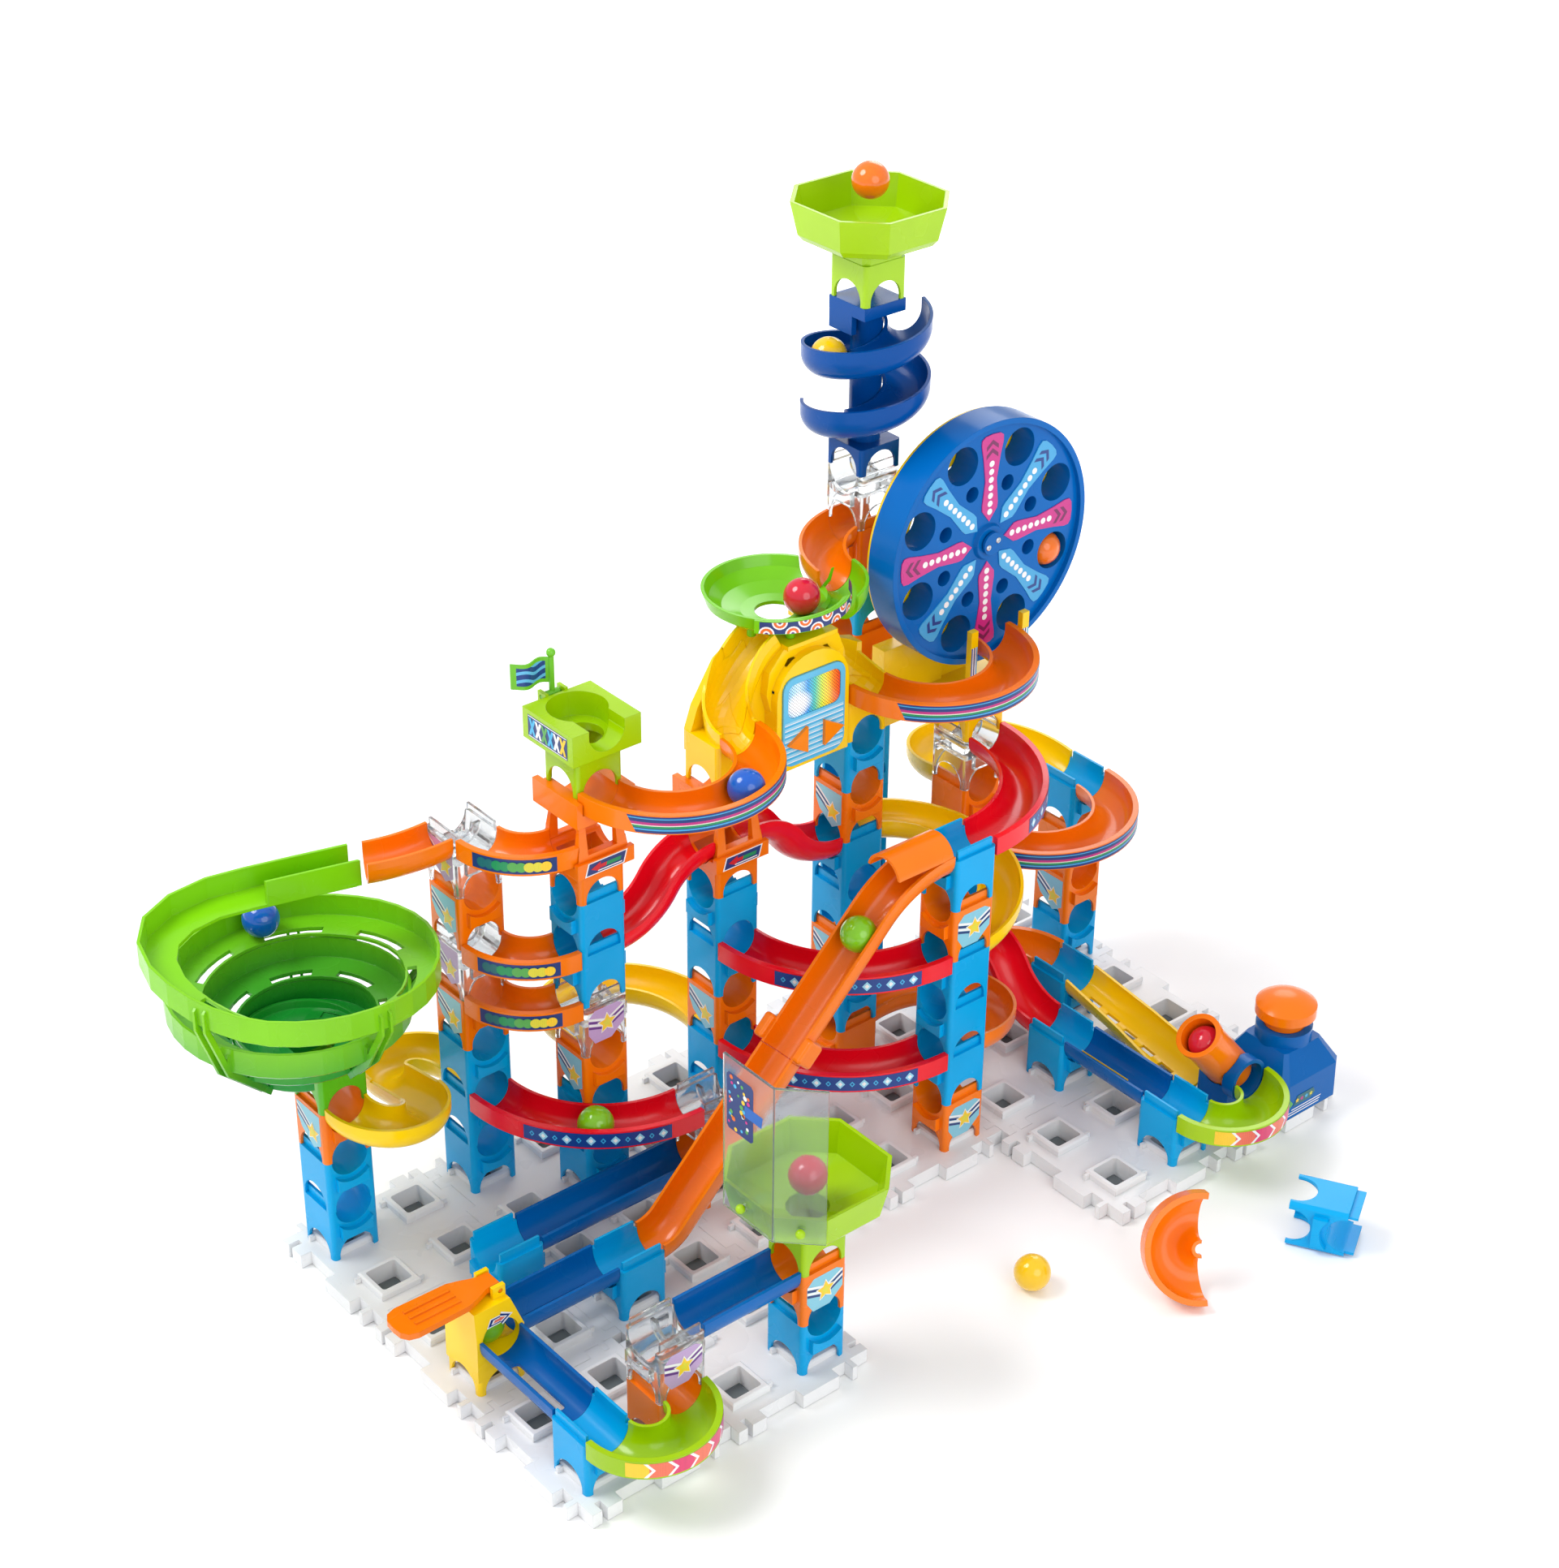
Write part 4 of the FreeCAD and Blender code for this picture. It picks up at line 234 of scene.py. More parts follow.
def led_screen():
    "Backlit dot screen: white sparkle on blue at the left, running to orange and red at the right."
    mat, tree, shader = new_material("led_screen")
    low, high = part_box("light_screen")
    surface_detail(tree, shader, strength=0.05, bevel=0.0004)
    across = maths(tree, "DIVIDE", maths(tree, "SUBTRACT", coordinate(tree, 0), low[0]), high[0] - low[0])
    upward = maths(tree, "DIVIDE", maths(tree, "SUBTRACT", coordinate(tree, 2), low[2]), high[2] - low[2])
    ramp = add(tree, "ShaderNodeValToRGB")
    stops = ((0.0, srgb(120, 190, 235)), (0.2, srgb(196, 232, 250)), (0.38, srgb(40, 150, 225)),
             (0.52, srgb(60, 190, 170)), (0.64, srgb(190, 220, 60)), (0.76, srgb(250, 200, 40)),
             (0.88, srgb(245, 120, 30)), (1.0, srgb(225, 60, 30)))
    ramp.color_ramp.elements[0].color = stops[0][1]
    ramp.color_ramp.elements[1].color = stops[-1][1]
    for position, colour in stops[1:-1]:
        ramp.color_ramp.elements.new(position).color = colour
    link(tree, across, ramp.inputs[0])
    glow_x = maths(tree, "POWER", maths(tree, "MULTIPLY", maths(tree, "SUBTRACT", across, 0.2), 3.6), 2.0)
    glow_z = maths(tree, "POWER", maths(tree, "MULTIPLY", maths(tree, "SUBTRACT", upward, 0.36), 2.6), 2.0)
    flare = maths(tree, "SUBTRACT", 1.0, maths(tree, "ADD", glow_x, glow_z), clamp=True)
    coords = add(tree, "ShaderNodeTexCoord")
    turn = add(tree, "ShaderNodeMapping")
    turn.inputs["Rotation"].default_value = (0, math.radians(45), 0)
    link(tree, coords.outputs["Object"], turn.inputs["Vector"])
    dots = add(tree, "ShaderNodeTexVoronoi", in_Scale=620.0, in_Randomness=0.0)
    link(tree, turn.outputs[0], dots.inputs["Vector"])
    lamp = add(tree, "ShaderNodeMapRange", in_From_Min=0.32, in_From_Max=0.5, in_To_Min=1.0, in_To_Max=0.35)
    link(tree, dots.outputs["Distance"], lamp.inputs["Value"])
    white = mix(tree)
    white.inputs[7].default_value = (1, 1, 1, 1)
    link(tree, ramp.outputs[0], white.inputs[6])
    link(tree, flare, white.inputs[0])
    lit = mix(tree, "MULTIPLY", 1.0)
    link(tree, white.outputs[2], lit.inputs[6])
    link(tree, lamp.outputs[0], lit.inputs[7])
    link(tree, lit.outputs[2], shader.inputs["Base Color"])
    link(tree, lit.outputs[2], shader.inputs["Emission Color"])
    shader.inputs["Emission Strength"].default_value = 0.55
    shader.inputs["Roughness"].default_value = 0.18
    shader.inputs["Coat Weight"].default_value = 0.5
    return mat


def flag_surface():
    "Lime pole and hem; the cloth inside the hem is navy with pale printed waves."
    mat = plastic("flag_two_tone", srgb(110, 190, 40), rough=0.3)
    tree = mat.node_tree
    shader = tree.nodes["Principled BSDF"]
    base = shader.inputs["Base Color"].links[0].from_socket
    low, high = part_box("flag")
    pole_x = at(2.5, 0, 0).x - 0.0032
    side, tall = coordinate(tree, 0), coordinate(tree, 2)
    swing = maths(tree, "MULTIPLY", maths(tree, "SINE", maths(tree, "MULTIPLY", side, 330.0)), 0.0018)
    rows = maths(tree, "SINE", maths(tree, "MULTIPLY", maths(tree, "ADD", tall, swing), 1150.0))
    wave = maths(tree, "GREATER_THAN", rows, 0.35)
    cloth = mix(tree)
    cloth.inputs[6].default_value, cloth.inputs[7].default_value = srgb(22, 60, 132), srgb(96, 178, 226)
    link(tree, wave, cloth.inputs[0])
    hem_low, hem_high = at(0, 0, 9.24).z + 0.0105, at(0, 0, 9.24).z + 0.0227
    above, below = maths(tree, "GREATER_THAN", tall, hem_low), maths(tree, "LESS_THAN", tall, hem_high)
    inside = maths(tree, "MULTIPLY", above, below)
    printed = maths(tree, "MULTIPLY", inside, maths(tree, "GREATER_THAN", side, low[0] + 0.0024))
    choose = mix(tree)
    link(tree, maths(tree, "MULTIPLY", printed, maths(tree, "LESS_THAN", side, pole_x)), choose.inputs[0])
    link(tree, base, choose.inputs[6])
    link(tree, cloth.outputs[2], choose.inputs[7])
    link(tree, choose.outputs[2], shader.inputs["Base Color"])
    return mat


def funnel_surface():
    "Lime at the rim, running down to a deeper green at the cone."
    mat = plastic("funnel_fade", srgb(128, 204, 8), rough=0.24)
    tree = mat.node_tree
    shader = tree.nodes["Principled BSDF"]
    base = shader.inputs["Base Color"].links[0].from_socket
    low, high = at(0, 0, 4.0).z, at(0, 0, 5.6).z
    fade = add(tree, "ShaderNodeMapRange", in_From_Min=low, in_From_Max=high, interpolation_type="SMOOTHSTEP")
    link(tree, coordinate(tree, 2), fade.inputs["Value"])
    blend = mix(tree)
    blend.inputs[6].default_value = srgb(10, 140, 44)
    link(tree, base, blend.inputs[7])
    link(tree, fade.outputs[0], blend.inputs[0])
    foot = maths(tree, "LESS_THAN", coordinate(tree, 2), at(0, 0, 3.7).z)
    lower = mix(tree)
    link(tree, foot, lower.inputs[0])
    link(tree, blend.outputs[2], lower.inputs[6])
    lower.inputs[7].default_value = srgb(84, 178, 24)
    link(tree, lower.outputs[2], shader.inputs["Base Color"])
    return mat


SURFACES["spiral_funnel"] = funnel_surface()
SURFACES["vortex_bowl"] = plastic("bowl_lime", srgb(118, 200, 10), rough=0.2)
SURFACES["light_screen"] = led_screen()
SURFACES["flag"] = flag_surface()
SURFACES["sound_unit_panel"] = plastic("panel_blue", srgb(96, 194, 236), rough=0.25)
for name in ("light_screen", "flag", "sound_unit_panel", "spiral_funnel", "vortex_bowl"):
    for place in nodes[name].material_slots:
        place.material = SURFACES[name]

# ---------------------------------------------------------------- printed labels

MM = 0.001
LAYER = 0.00007
INKS = {
    "navy": (20, 52, 120), "white": (244, 245, 246), "sky": (136, 204, 226), "gold": (250, 206, 44),
    "lilac": (196, 164, 214), "purple": (104, 48, 140), "magenta": (190, 40, 128), "green": (20, 146, 90),
    "cream": (226, 232, 214), "blue": (20, 100, 190), "cyan": (66, 182, 232), "pale": (150, 216, 244),
    "orange": (236, 110, 24), "salmon": (238, 116, 88), "pink": (222, 62, 110), "red": (208, 30, 40),
    "teal": (28, 104, 112), "leaf": (86, 170, 80), "lemon": (226, 214, 60), "hot": (208, 40, 140),
    "ice": (64, 170, 226),
    "deep": (10, 60, 140), "plum": (120, 20, 90), "yellow": (246, 206, 20),
}


def ink(name):
    "Printed label colour with a faint halftone screen and uneven gloss."
    mat, tree, shader = new_material("ink_" + name)
    colour = srgb(*INKS[name])
    coords, fine, wave = surface_detail(tree, shader, grain=2400.0, strength=0.04, bevel=0)
    screen = add(tree, "ShaderNodeTexVoronoi", in_Scale=1500.0, in_Randomness=0.2)
    link(tree, coords.outputs["Object"], screen.inputs["Vector"])
    ramp = add(tree, "ShaderNodeValToRGB")
    ramp.color_ramp.elements[0].position, ramp.color_ramp.elements[1].position = 0.2, 0.75
    ramp.color_ramp.elements[0].color = colour
    ramp.color_ramp.elements[1].color = tuple(c * 0.84 for c in colour[:3]) + (1,)
    link(tree, screen.outputs["Distance"], ramp.inputs[0])
    link(tree, ramp.outputs[0], shader.inputs["Base Color"])
    gloss = add(tree, "ShaderNodeMapRange", in_To_Min=0.22, in_To_Max=0.42)
    link(tree, wave.outputs["Fac"], gloss.inputs["Value"])
    link(tree, gloss.outputs[0], shader.inputs["Roughness"])
    return mat


INK_LIST = list(INKS)
INK_MATERIALS = [ink(name) for name in INK_LIST]


class Label:
    "Printed artwork made of thin coloured shapes laid on a surface; sizes in millimetres."

    def __init__(self, name, body="run_frame"):
        self.name, self.body, self.points, self.faces, self.inks = name, body, [], [], []

    def surface(self, corners, colour):
        first = len(self.points)
        self.points += [tuple(c) for c in corners]
        self.faces.append(tuple(range(first, first + len(corners))))
        self.inks.append(INK_LIST.index(colour))

    def shape(self, spot, outline, layer, colour):
        centre = (sum(p[0] for p in outline) / len(outline), sum(p[1] for p in outline) / len(outline))
        for a, b in zip(outline, outline[1:] + outline[:1]):
            self.surface([spot(*centre, layer), spot(*a, layer), spot(*b, layer)], colour)

    def strip(self, spot, left, right, low, high, layer, colour, slant=0.0):
        count = max(1, int(math.ceil((right - left) / 2.5)))
        for n in range(count):
            a = left + (right - left) * n / count
            b = left + (right - left) * (n + 1) / count
            self.surface([spot(a + slant * low, low, layer), spot(b + slant * low, low, layer),
                          spot(b + slant * high, high, layer), spot(a + slant * high, high, layer)], colour)

    def disc(self, spot, s, w, radius, layer, colour, first=0, last=360):
        steps = max(6, int((last - first) / 20))
        angles = [math.radians(first + (last - first) * n / steps) for n in range(steps + 1)]
        for a, b in zip(angles, angles[1:]):
            self.surface([spot(s, w, layer), spot(s + radius * math.cos(a), w + radius * math.sin(a), layer),
                          spot(s + radius * math.cos(b), w + radius * math.sin(b), layer)], colour)

    def star(self, spot, s, w, radius, layer, colour):
        outline = []
        for n in range(10):
            reach = radius if n % 2 == 0 else radius * 0.5
            turn = math.radians(90 + 36 * n)
            outline.append((s + reach * math.cos(turn), w + reach * math.sin(turn)))
        self.shape(spot, outline, layer, colour)

    def place(self):
        mesh = bpy.data.meshes.new(self.name)
        mesh.from_pydata(self.points, [], self.faces)
        for mat in INK_MATERIALS:
            mesh.materials.append(mat)
        mesh.polygons.foreach_set("material_index", self.inks)
        obj = bpy.data.objects.new(self.name, mesh)
        bpy.context.scene.collection.objects.link(obj)
        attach(obj, self.body)
        return obj


def flat(origin, along, up):
    "Placement on a plane: along and up in millimetres from the origin, layer outward."
    along, up = Vector(along).normalized(), Vector(up).normalized()
    outward = along.cross(up)
    return lambda s, w, layer: origin + along * s * MM + up * w * MM + outward * (layer * LAYER)


def curved(centre, radius, start, direction=1, drop=0.0):
    "Placement on an upright cylinder: s is the arc length in millimetres from the start angle."
    def spot(s, w, layer):
        angle = math.radians(start) + direction * s * MM / radius
        reach = radius + layer * LAYER
        return centre + Vector((reach * math.cos(angle), reach * math.sin(angle), w * MM - drop * s))
    return spot


FRONT, LEFT = ((1, 0, 0), (0, 0, 1)), ((0, -1, 0), (0, 0, 1))


def block_face(i, j, level, side):
    centre = at(i + 0.5, j + 0.5, level) + Vector((0, 0, 0.022))
    shift = Vector((-WIDTH / 2, 0, 0)) if side == LEFT else Vector((0, -WIDTH / 2, 0))
    return flat(centre + shift, *side)


def star_label(label, spot, base="sky", line="navy", centred=False):
    "Badge with a five-pointed star on slanting ribbons."
    if centred:
        outline = [(-14, 7), (-9, 12), (9, 12), (14, 9), (14, -4), (4, -13), (-9, -13), (-14, -5)]
        label.shape(spot, outline, 1, base)
    else:
        label.shape(spot, [(-13, 13.4), (13, 13.4), (13, -9), (4, -14.5), (-9, -5.5), (-13, 2)], 1, base)
    star_s, star_w = (0.5, -0.5) if centred else (4.2, -2.6)
    for row, colour in enumerate(("white", line, "white", line)):
        offset = 3.2 - row * 2.1
        edge = -13.8 if centred else -12.8
        rise = 4.5 if centred else 9.4
        label.shape(spot, [(edge, rise + offset), (star_s, star_w + offset), (star_s, star_w + offset - 1.7),
                           (edge, rise + offset - 1.9)], 2, colour)
        if centred:
            label.shape(spot, [(star_s, star_w + offset), (13.8, 6.5 + offset), (13.8, 4.6 + offset),
                               (star_s, star_w + offset - 1.7)], 2, colour)
    label.star(spot, star_s, star_w, 8.2, 3, "white")
    label.star(spot, star_s, star_w, 7.0, 4, "gold")
    label.star(spot, star_s, star_w, 4.0, 5, "lemon")


labels = Label("star_labels")
LEFT_STARS = ((-1, -1, 2), (1, -1, 3), (1, -1, 5), (2, 0, 2), (4, 0, 2), (6, 0, 2), (6, 0, 5), (10, 0, 1))
FRONT_STARS = ((6, 2, 0), (6, 2, 4), (2, 4, 1))
LILAC_STARS = ((1, -1, 4, LEFT), (1, -1, 6, LEFT), (2, 0, 3, FRONT), (0, 4, 1, FRONT), (3, 1, 1, FRONT))
for i, j, level in LEFT_STARS:
    star_label(labels, block_face(i, j, level, LEFT))
for i, j, level in FRONT_STARS:
    star_label(labels, block_face(i, j, level, FRONT), centred=True)
for i, j, level, side in LILAC_STARS:
    star_label(labels, block_face(i, j, level, side), "lilac", "purple", centred=side == FRONT)
labels.place()


def band_place(i, j, level, cells, start, direction):
    return curved(at(i, j, level), cells * CELL + BAND + 0.00005, start, direction), cells * CELL + BAND


bands = Label("band_labels")
RAINBOW = (("navy", -7.2, -5.4), ("ice", -5.4, -4.4), ("navy", -4.4, -3.8), ("green", -3.8, -2.3),
           ("cream", -2.3, -1.7), ("magenta", -1.7, 0.1), ("navy", 0.1, 2.3), ("ice", 2.3, 3.0),
           ("navy", 3.0, 4.2))
for i, level in ((7.5, 8), (3.5, 8), (9.5, 4)):
    spot, reach = band_place(i, 0.5 + FACE, level, 1, -25, -1)
    length = math.radians(128) * reach / MM
    for colour, low, high in RAINBOW:
        bands.strip(spot, 6, length - 6, low, high, 1, colour, slant=0.5)

NEAR_EDGE = 1 - FACE
DOTS = ("teal", "teal", "green", "green", "leaf", "leaf", "lemon", "lemon", "gold")
for level in (7, 5, 4):
    spot, reach = band_place(2.5 - FACE, -0.5 + FACE, level, NEAR_EDGE, 196, 1)
    length = math.radians(58) * reach / MM
    bands.strip(spot, 0, length, -6.6, 3.6, 1, "navy")
    for n, colour in enumerate(DOTS):
        bands.disc(spot, 7 + (length - 14) * n / (len(DOTS) - 1), -1.5, 3.5, 2 + n, colour)

RED_BANDS = ((3.5 - FACE, -0.5 + FACE, 2, 205, 1), (6.5 - FACE, 0.5 + FACE, 4, 205, 1),
             (6.5 - FACE, 0.5 + FACE, 2, 205, 1), (6.5 + FACE, 0.5 + FACE, 6, -20, -1))
for i, j, level, start, direction in RED_BANDS:
    spot, reach = band_place(i, j, level, 1 + NEAR_EDGE, start, direction)
    length = math.radians(52) * reach / MM
    bands.strip(spot, 0, length, -6.8, 3.8, 1, "deep")
    count = int(length / 8)
    for n in range(count):
        s = 6 + (length - 12) * n / (count - 1)
        tall, wide = (3.6, 3.2) if n % 2 else (2.2, 1.8)
        colour = "pale" if n % 2 else "cyan"
        for layer, share, shade in ((2, 1, colour), (3, 0.5, "white" if n % 2 else "deep")):
            across, rise = wide * share, tall * share
            diamond = [(s - across, -1.5), (s, -1.5 + rise), (s + across, -1.5), (s, -1.5 - rise)]
            bands.shape(spot, diamond, layer, shade)

for i, start, direction in ((0, -36, -1), (9, -36, -1)):
    spot, reach = band_place(i, 4.5 + FACE, 1, 0.5, start, direction)
    length = math.radians(108) * reach / MM
    parts = ("magenta", "pink", "salmon", "pink", "salmon", "gold")
    step = length / len(parts)
    for n, colour in enumerate(parts):
        bands.strip(spot, n * step, (n + 1) * step, -6.8, 3.8, 1, colour)
        tip = n * step
        upper = [(tip + 1, 3.8), (tip + 3.2, 3.8), (tip - 1.6, -1.5), (tip - 3.8, -1.5)]
        lower = [(tip - 3.8, -1.5), (tip - 1.6, -1.5), (tip + 3.2, -6.8), (tip + 1, -6.8)]
        bands.shape(spot, upper, 2, "white")
        bands.shape(spot, lower, 2, "white")
bands.place()

bowl = Label("bowl_label")
bowl_spot = curved(at(5.6, 0.13, 9.75), 0.04885, 219, 1)
length = math.radians(117) * 48.85
bowl.strip(bowl_spot, 0, length, -4.6, 3.4, 1, "navy")
RINGS = ((5.0, "white"), (3.9, "orange"), (2.2, "white"), (1.1, "purple"))
for n in range(12):
    s = 4.5 + (length - 9) * n / 11
    edge, first, last = (3.4, 180, 360) if n % 2 else (-4.6, 0, 180)
    for layer, (size, colour) in enumerate(RINGS):
        bowl.disc(bowl_spot, s, edge, size, 2 + layer, colour, first, last)
bowl.place()

tower_labels = Label("arrow_labels")
for i, j, level in ((2.5, 0.5, 6), (4.5, 0.5, 5)):
    spot = flat(at(i, j, level) + Vector((0, -0.02155, 0.72 * PITCH)), *FRONT)
    tower_labels.strip(spot, -15, 15, -4.6, 4.6, 1, "white", slant=0.3)
    tower_labels.strip(spot, -14, 14, -3.9, 3.9, 2, "navy", slant=0.3)
    tower_labels.strip(spot, -2, 11, -1.2, 1.4, 3, "green", slant=0.3)
    tower_labels.strip(spot, -6, 0, -1.2, 1.4, 4, "red", slant=0.3)
    tower_labels.shape(spot, [(-12, 0), (-4.4, 3.4), (-5.6, -3.2)], 5, "red")
    tower_labels.strip(spot, -6, 12.5, -2.9, -2.1, 6, "white", slant=0.3)
tower_labels.place()

panel = Label("panel_label")
panel_low, panel_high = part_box("sound_unit_panel")
panel_mid = (panel_low[0] + panel_high[0]) / 2
spot = flat(Vector((panel_mid, panel_low[1] - 0.00003, panel_low[2])), *FRONT)
half = (panel_high[0] - panel_low[0]) / 2 / MM - 1.2
CORNER = 9.0


def panel_reach(w):
    "Half the printed width at a height above the panel's foot, following its round corners."
    gap = max(CORNER - w, 0.0)
    return half - CORNER + math.sqrt(CORNER ** 2 - gap ** 2)


for n in range(8):
    low = 1.2 + n * 4.0
    for first, last, colour in ((0, 1.7, "cyan"), (1.7, 2.3, "white"), (2.3, 4.0, "pale")):
        a, b = low + first, min(low + last, 33)
        wide_a, wide_b = panel_reach(a), panel_reach(b)
        panel.shape(spot, [(-wide_a, a), (wide_a, a), (wide_b, b), (-wide_b, b)], 1, colour)
panel.place()

HUB = Vector((at(8.5, 0, 0).x, at(0, 0.75, 0).y + 0.0036, PLATE + 6.94 * CELL))
wheel = Label("wheel_spokes", "wheel")
for n in range(8):
    turn = math.radians(45 * n)
    along = Vector((math.cos(turn), 0, math.sin(turn)))
    up = Vector((0, -1, 0)).cross(along)
    outline = [(14.5, 0), (23, 6.6), (27, 6.9), (44, 5.0), (60, 7.4), (70, 9.6), (74, 9.4), (76, 6.5),
               (76.6, 0), (76, -6.5), (74, -9.4), (70, -9.6), (60, -7.4), (44, -5.0), (27, -6.9), (23, -6.6)]
    spot = flat(HUB, along, up)
    top = 10
    base = "hot" if n % 2 == 0 else "ice"
    wheel.shape(spot, outline, top, base)
    for a, b in zip(outline, outline[1:] + outline[:1]):
        wheel.surface([spot(*a, 0), spot(*b, 0), spot(*b, top), spot(*a, top)], base)
    for k in range(7):
        wheel.disc(spot, 21.5 + 5.7 * k, 0, 2.2, top + 1, "white")
    dark = "plum" if n % 2 == 0 else "deep"
    for r in (62.5, 68.5):
        for side in (1, -1):
            chevron = [(r - 3, side * 5.2), (r, side * 5.2), (r + 4.2, 0), (r + 1.2, 0)]
            wheel.shape(spot, chevron, top + 1, dark)
wheel.place()

SCREW_SIDES = 18
screw_points, screw_faces = [], []
SCREW = ((0.0, 0.25), (0.6, 0.25), (0.7, 0.7), (1.5, 0.6), (2.0, 0.3), (2.1, -0.05))
axle_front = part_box("wheel_axle")[0][1]
for side in (-1, 1):
    centre = Vector((HUB.x + side * 0.0042, axle_front, HUB.z + side * 0.0016))
    first = len(screw_points)
    for radius, rise in SCREW:
        for k in range(SCREW_SIDES):
            turn = 2 * math.pi * k / SCREW_SIDES
            corner = Vector((radius * math.cos(turn), -rise, radius * math.sin(turn)))
            screw_points.append(centre + corner * MM)
    for ring in range(len(SCREW) - 1):
        for k in range(SCREW_SIDES):
            a = first + ring * SCREW_SIDES + k
            b = first + ring * SCREW_SIDES + (k + 1) % SCREW_SIDES
            screw_faces.append((a, a + SCREW_SIDES, b + SCREW_SIDES, b))
mesh = bpy.data.meshes.new("hub_screws")
mesh.from_pydata(screw_points, [], screw_faces)
mesh.materials.append(STEEL)
screws = bpy.data.objects.new("hub_screws", mesh)
bpy.context.scene.collection.objects.link(screws)
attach(screws, "run_frame")

posts = Label("post_labels")
for i in (8.07, 8.93):
    spot = flat(at(i, 0.95, 6.75) + Vector((0, -0.0023, 0)), *FRONT)
    for k, colour in enumerate(("blue", "white", "navy", "white", "cyan")):
        posts.strip(spot, -2.6 + k * 1.05, -1.55 + k * 1.05, 2, 50, 1, colour)
posts.place()

shield = Label("confetti_label")
shield_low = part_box("catcher_shield")[0]
spot = flat(Vector((shield_low[0] - 0.00002, at(0, 4.5, 0).y, shield_low[2])), *LEFT)
backing = [(-17, 62), (-15, 60), (5, 60), (7, 62), (7, 98), (5, 100), (-15, 100), (-17, 98)]
shield.shape(spot, backing, 1, "navy")
shield.strip(spot, -13, 3, 76, 84, 2, "blue", slant=0.15)
for n in range(30):
    s, w = random.uniform(-15.2, 5.2), 62 + 36 * ((n * 7) % 30) / 30 + random.uniform(0, 1.2)
    colour = ("gold", "cyan", "hot", "leaf", "white", "orange")[n % 6]
    shield.disc(spot, s, w, random.uniform(0.8, 1.7), 3, colour)
shield.place()

box_label = Label("flag_box_label")
spot = flat(Vector((at(2.5, 0, 0).x - 0.02552, at(0, 0.5, 0).y, at(0, 0, 9.02).z)), *LEFT)
box_label.strip(spot, -20, 20, -7.5, 7.5, 1, "navy")
for n, colour in enumerate(("cyan", "white", "leaf", "cyan", "white", "gold")):
    s = -15.5 + n * 6.2
    for lean in (1, -1):
        outer, inner = 3.4 * lean, 1.2 * lean
        stroke = [(s - outer, -5.6), (s - inner, -5.6), (s + outer, 5.6), (s + inner, 5.6)]
        box_label.shape(spot, stroke, 2 if lean > 0 else 3, colour)
box_label.strip(spot, -19.5, 19.5, -7.1, -6.5, 2, "white")
box_label.strip(spot, -19.5, 19.5, 6.5, 7.1, 2, "white")
box_label.place()

arrow = Label("starter_arrow")
tilt = Vector((0, 2.5, 0.56 * 38.5)).normalized()
foot = at(-0.5, 2.5, 1.06)
spot = flat(foot + Vector((0, -0.01714, 0)) + tilt * 0.0105, FRONT[0], tilt)
outer = [(-9, -2.4), (2, -2.4), (2, -4.2), (10, 0.6), (2, 5.0), (2, 3.2), (-6, 3.2)]
arrow.shape(spot, outer, 1, "white")
arrow.shape(spot, [(x * 0.86 - 0.3, (y - 0.4) * 0.78 + 0.4) for x, y in outer], 2, "navy")
arrow.shape(spot, [(x * 0.62 - 0.2, (y - 0.4) * 0.48 + 0.4) for x, y in outer], 3, "white")
arrow.shape(spot, [(x * 0.46 - 0.2, (y - 0.4) * 0.3 + 0.4) for x, y in outer], 4, "salmon")
arrow.place()

swoosh = Label("cannon_swoosh")
cannon_low, cannon_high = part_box("cannon_body")
spot = flat(Vector(((cannon_low[0] + cannon_high[0]) / 2, at(0, 4.5, 0).y - 0.0304, PLATE)), *FRONT)
swoosh.shape(spot, [(-26, 3), (-18, 3), (-6, 12), (-12, 21), (-18, 12)], 1, "lemon")
swoosh.shape(spot, [(-17, 3), (-11, 3), (0, 12), (-5, 18), (-9, 12)], 1, "leaf")
for k in range(3):
    swoosh.strip(spot, -8 + 2 * k, 26, 2.4 + 2.1 * k, 3.2 + 2.1 * k, 1, "white", slant=0.4)
swoosh.shape(spot, [(0, 9.5), (18, 9.5), (22, 13), (20, 17), (4, 17)], 1, "teal")
for k in range(4):
    swoosh.star(spot, 4 + 4.6 * k, 13.2, 2.0, 2, ("gold", "hot", "cyan", "lemon")[k])
swoosh.place()

strip_label = Label("track_strip")
spot = flat(at(8.5, 3.5, 1) + Vector((-0.0131, 0, 0.003)), (0, -1, 0), (0, 0, -1))
strip_label.strip(spot, -22, 22, -1.6, 1.6, 1, "yellow")
strip_label.place()

# ---------------------------------------------------------------- painted shade: grey sheets in the windows of the base plates

BOSS_TOP = 0.0148
# Painted shade: a low grey sheet with a small lip sits in each plate window and stands for the shadowed floor
# seen through the hole.
SHADE_SHEET_RINGS = ((0.01065, 0.0010), (0.0096, 0.0016), (0.0092, 0.0013))
SQUARE = ((-1, -1), (1, -1), (1, 1), (-1, 1))
plate_corners = np.array([v.co for v in nodes["base_plates"].data.vertices])
tops = plate_corners[plate_corners[:, 2] > BOSS_TOP]
cells = sorted({(math.floor(x / CELL + ORIGIN_I), math.floor(ORIGIN_J - y / CELL)) for x, y, z in tops})
points, faces = [], []
for i, j in cells:
    centre = at(i + 0.5, j + 0.5, 0)
    first = len(points)
    for half_size, height in SHADE_SHEET_RINGS:
        for a, b in SQUARE:
            points.append((centre.x + a * half_size, centre.y + b * half_size, height))
    for ring in range(2):
        for k in range(4):
            a, b = first + ring * 4 + k, first + ring * 4 + (k + 1) % 4
            faces.append((a, b, b + 4, a + 4))
    faces.append(tuple(first + 8 + k for k in range(4)))
mesh = bpy.data.meshes.new("window_shade_sheets")
mesh.from_pydata(points, [], faces)
mesh.materials.append(plastic("window_shade_grey", srgb(112, 120, 124), rough=0.35, deep=0.7, bevel=0))
shade_sheets = bpy.data.objects.new("window_shade_sheets", mesh)
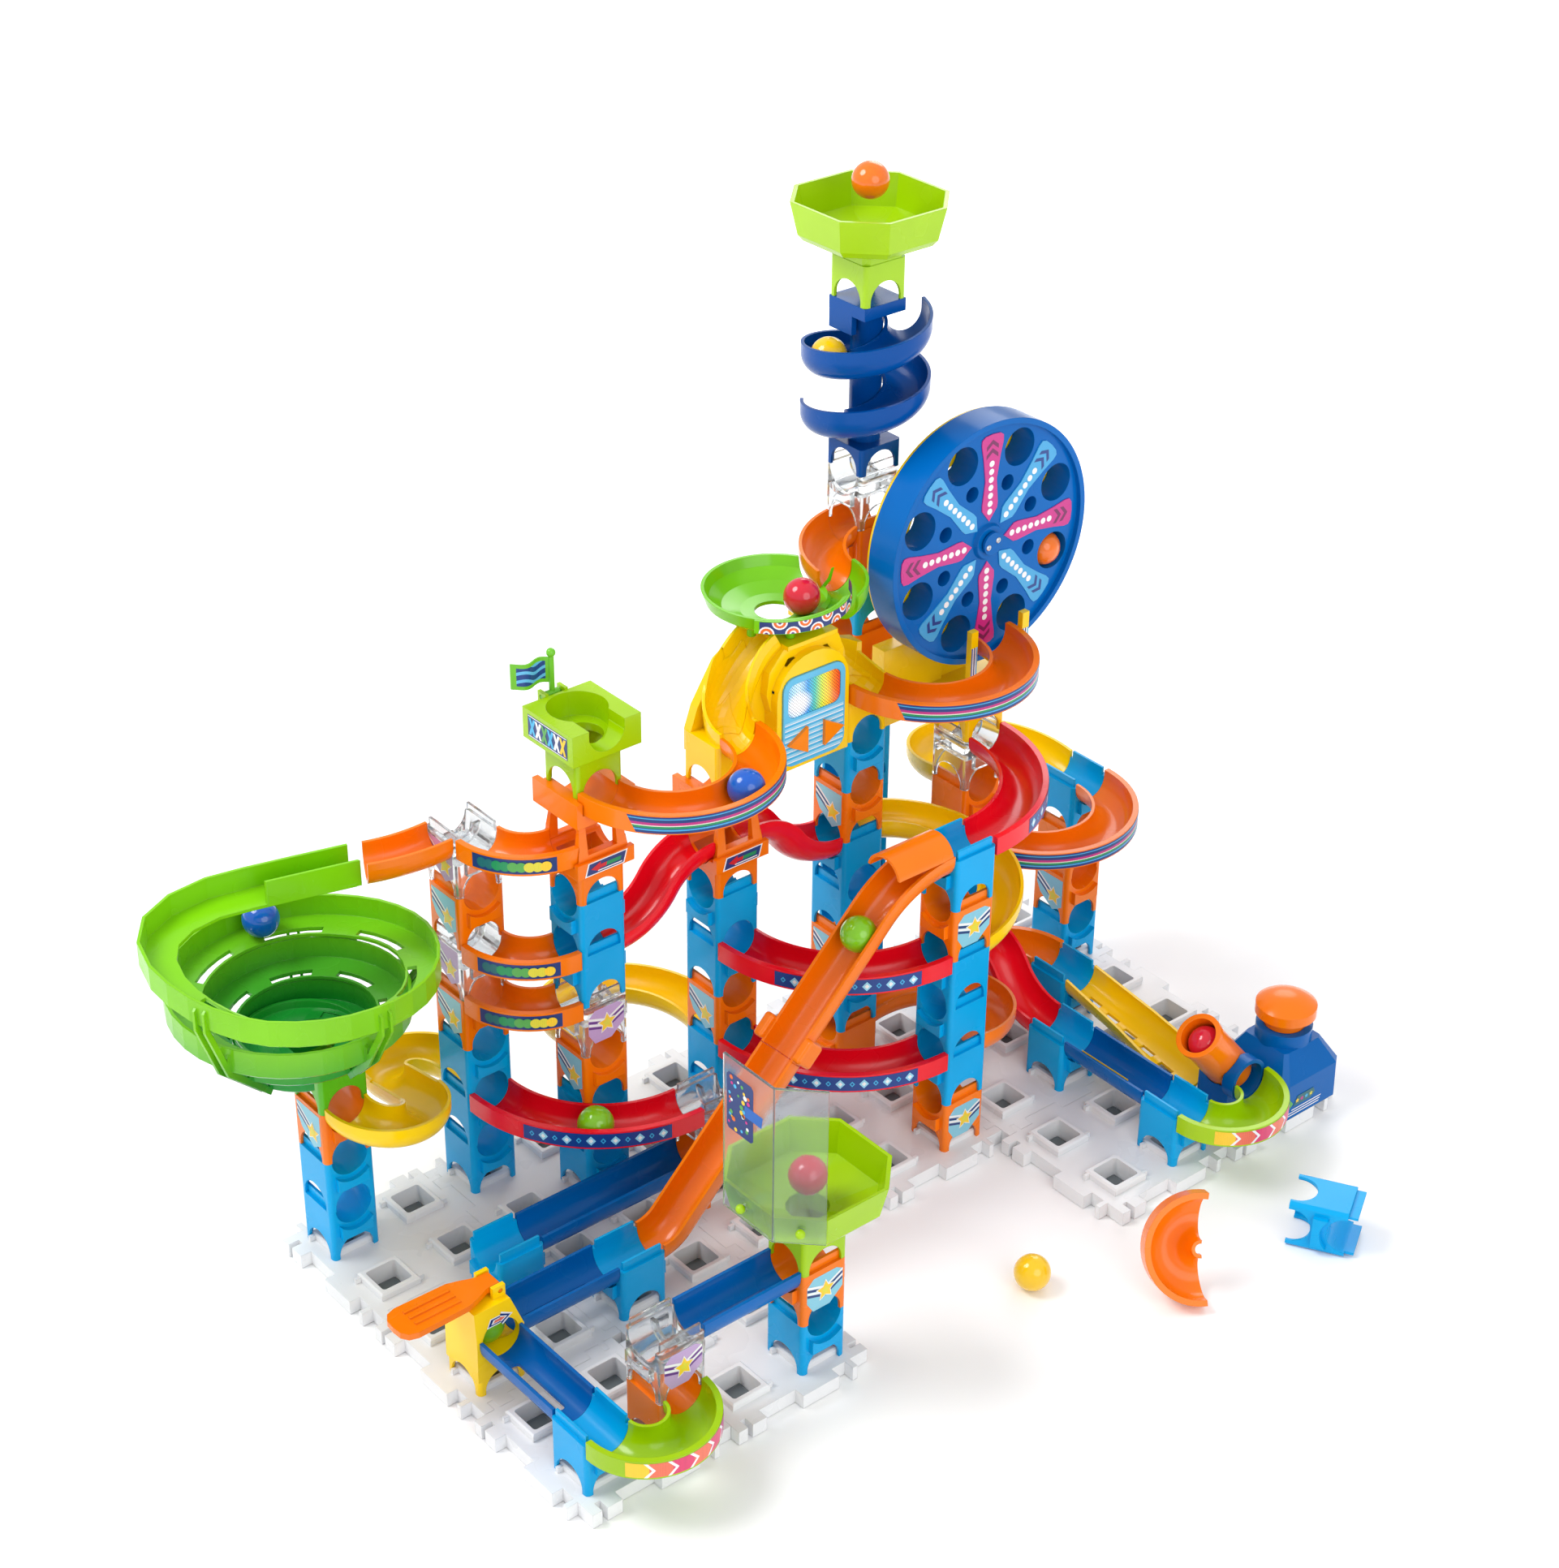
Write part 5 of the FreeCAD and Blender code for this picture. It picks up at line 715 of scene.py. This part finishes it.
bpy.context.scene.collection.objects.link(shade_sheets)
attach(shade_sheets, "run_frame")


# ---------------------------------------------------------------- camera, light and floor

CAMERA_PLACE, CAMERA_AIM = (-0.98358, -1.17924, 1.23521), (0.55296, 0.65821, -0.51087)
LENS, ROLL = 67.65, 0.61
camera_data = bpy.data.cameras.new("camera")
camera = bpy.data.objects.new("camera", camera_data)
bpy.context.scene.collection.objects.link(camera)
camera.location = CAMERA_PLACE
forward = Vector(CAMERA_AIM).normalized()
level_turn = forward.to_track_quat("-Z", "Y").to_matrix().to_4x4()
roll = Matrix.Rotation(math.radians(ROLL), 4, "Z")
camera.matrix_world = Matrix.Translation(camera.location) @ level_turn @ roll
camera_data.lens = LENS
camera_data.sensor_width = 36.0
camera_data.clip_end = 20.0
bpy.context.scene.camera = camera


def area_light(name, place, target, size, power, colour=(1, 1, 1)):
    data = bpy.data.lights.new(name, "AREA")
    data.shape, data.size, data.energy, data.color = "DISK", size, power, colour
    obj = bpy.data.objects.new(name, data)
    bpy.context.scene.collection.objects.link(obj)
    obj.location = place
    obj.rotation_euler = (Vector(target) - Vector(place)).to_track_quat("-Z", "Y").to_euler()


area_light("key", (-1.3, 0.9, 2.3), (0, 0, 0.2), 1.3, 38)
area_light("fill", (-0.3, -2.5, 1.5), (0, 0, 0.2), 2.2, 24)
area_light("rim", (2.0, 1.4, 1.7), (0, 0, 0.3), 1.5, 15)

world = bpy.data.worlds.new("studio")
world.use_nodes = True
world.node_tree.nodes["Background"].inputs["Color"].default_value = (1.0, 1.0, 1.0, 1)
world.node_tree.nodes["Background"].inputs["Strength"].default_value = 0.8
bpy.context.scene.world = world
bpy.context.scene.view_settings.view_transform = "Standard"
bpy.context.scene.view_settings.look = "None"

FLOOR_REACH, FLOOR_LEVEL = 9, -0.0004
floor_corners = [(x * FLOOR_REACH, y * FLOOR_REACH, FLOOR_LEVEL) for x, y in SQUARE]
floor_mesh = bpy.data.meshes.new("floor")
floor_mesh.from_pydata(floor_corners, [], [(0, 1, 2, 3)])
floor = bpy.data.objects.new("floor", floor_mesh)
bpy.context.scene.collection.objects.link(floor)
paper = plastic("floor_paper", srgb(252, 252, 253), rough=0.6, deep=0.985, coat=0.0, bevel=0, specular=0.2)
floor_mesh.materials.append(paper)
tree = paper.node_tree
# Painted light: the floor glows more the farther it is from the origin. There is no glow within 0.55 m, and
# the glow is even beyond 1.6 m, so the far floor turns white.
reach = add(tree, "ShaderNodeVectorMath", operation="LENGTH")
link(tree, add(tree, "ShaderNodeTexCoord").outputs["Object"], reach.inputs[0])
painted_floor_glow = add(tree, "ShaderNodeMapRange", in_From_Min=0.55, in_From_Max=1.6, in_To_Min=0.0, in_To_Max=0.5)
link(tree, reach.outputs["Value"], painted_floor_glow.inputs["Value"])
link(tree, painted_floor_glow.outputs[0], tree.nodes["Principled BSDF"].inputs["Emission Strength"])
tree.nodes["Principled BSDF"].inputs["Emission Color"].default_value = (1, 1, 1, 1)
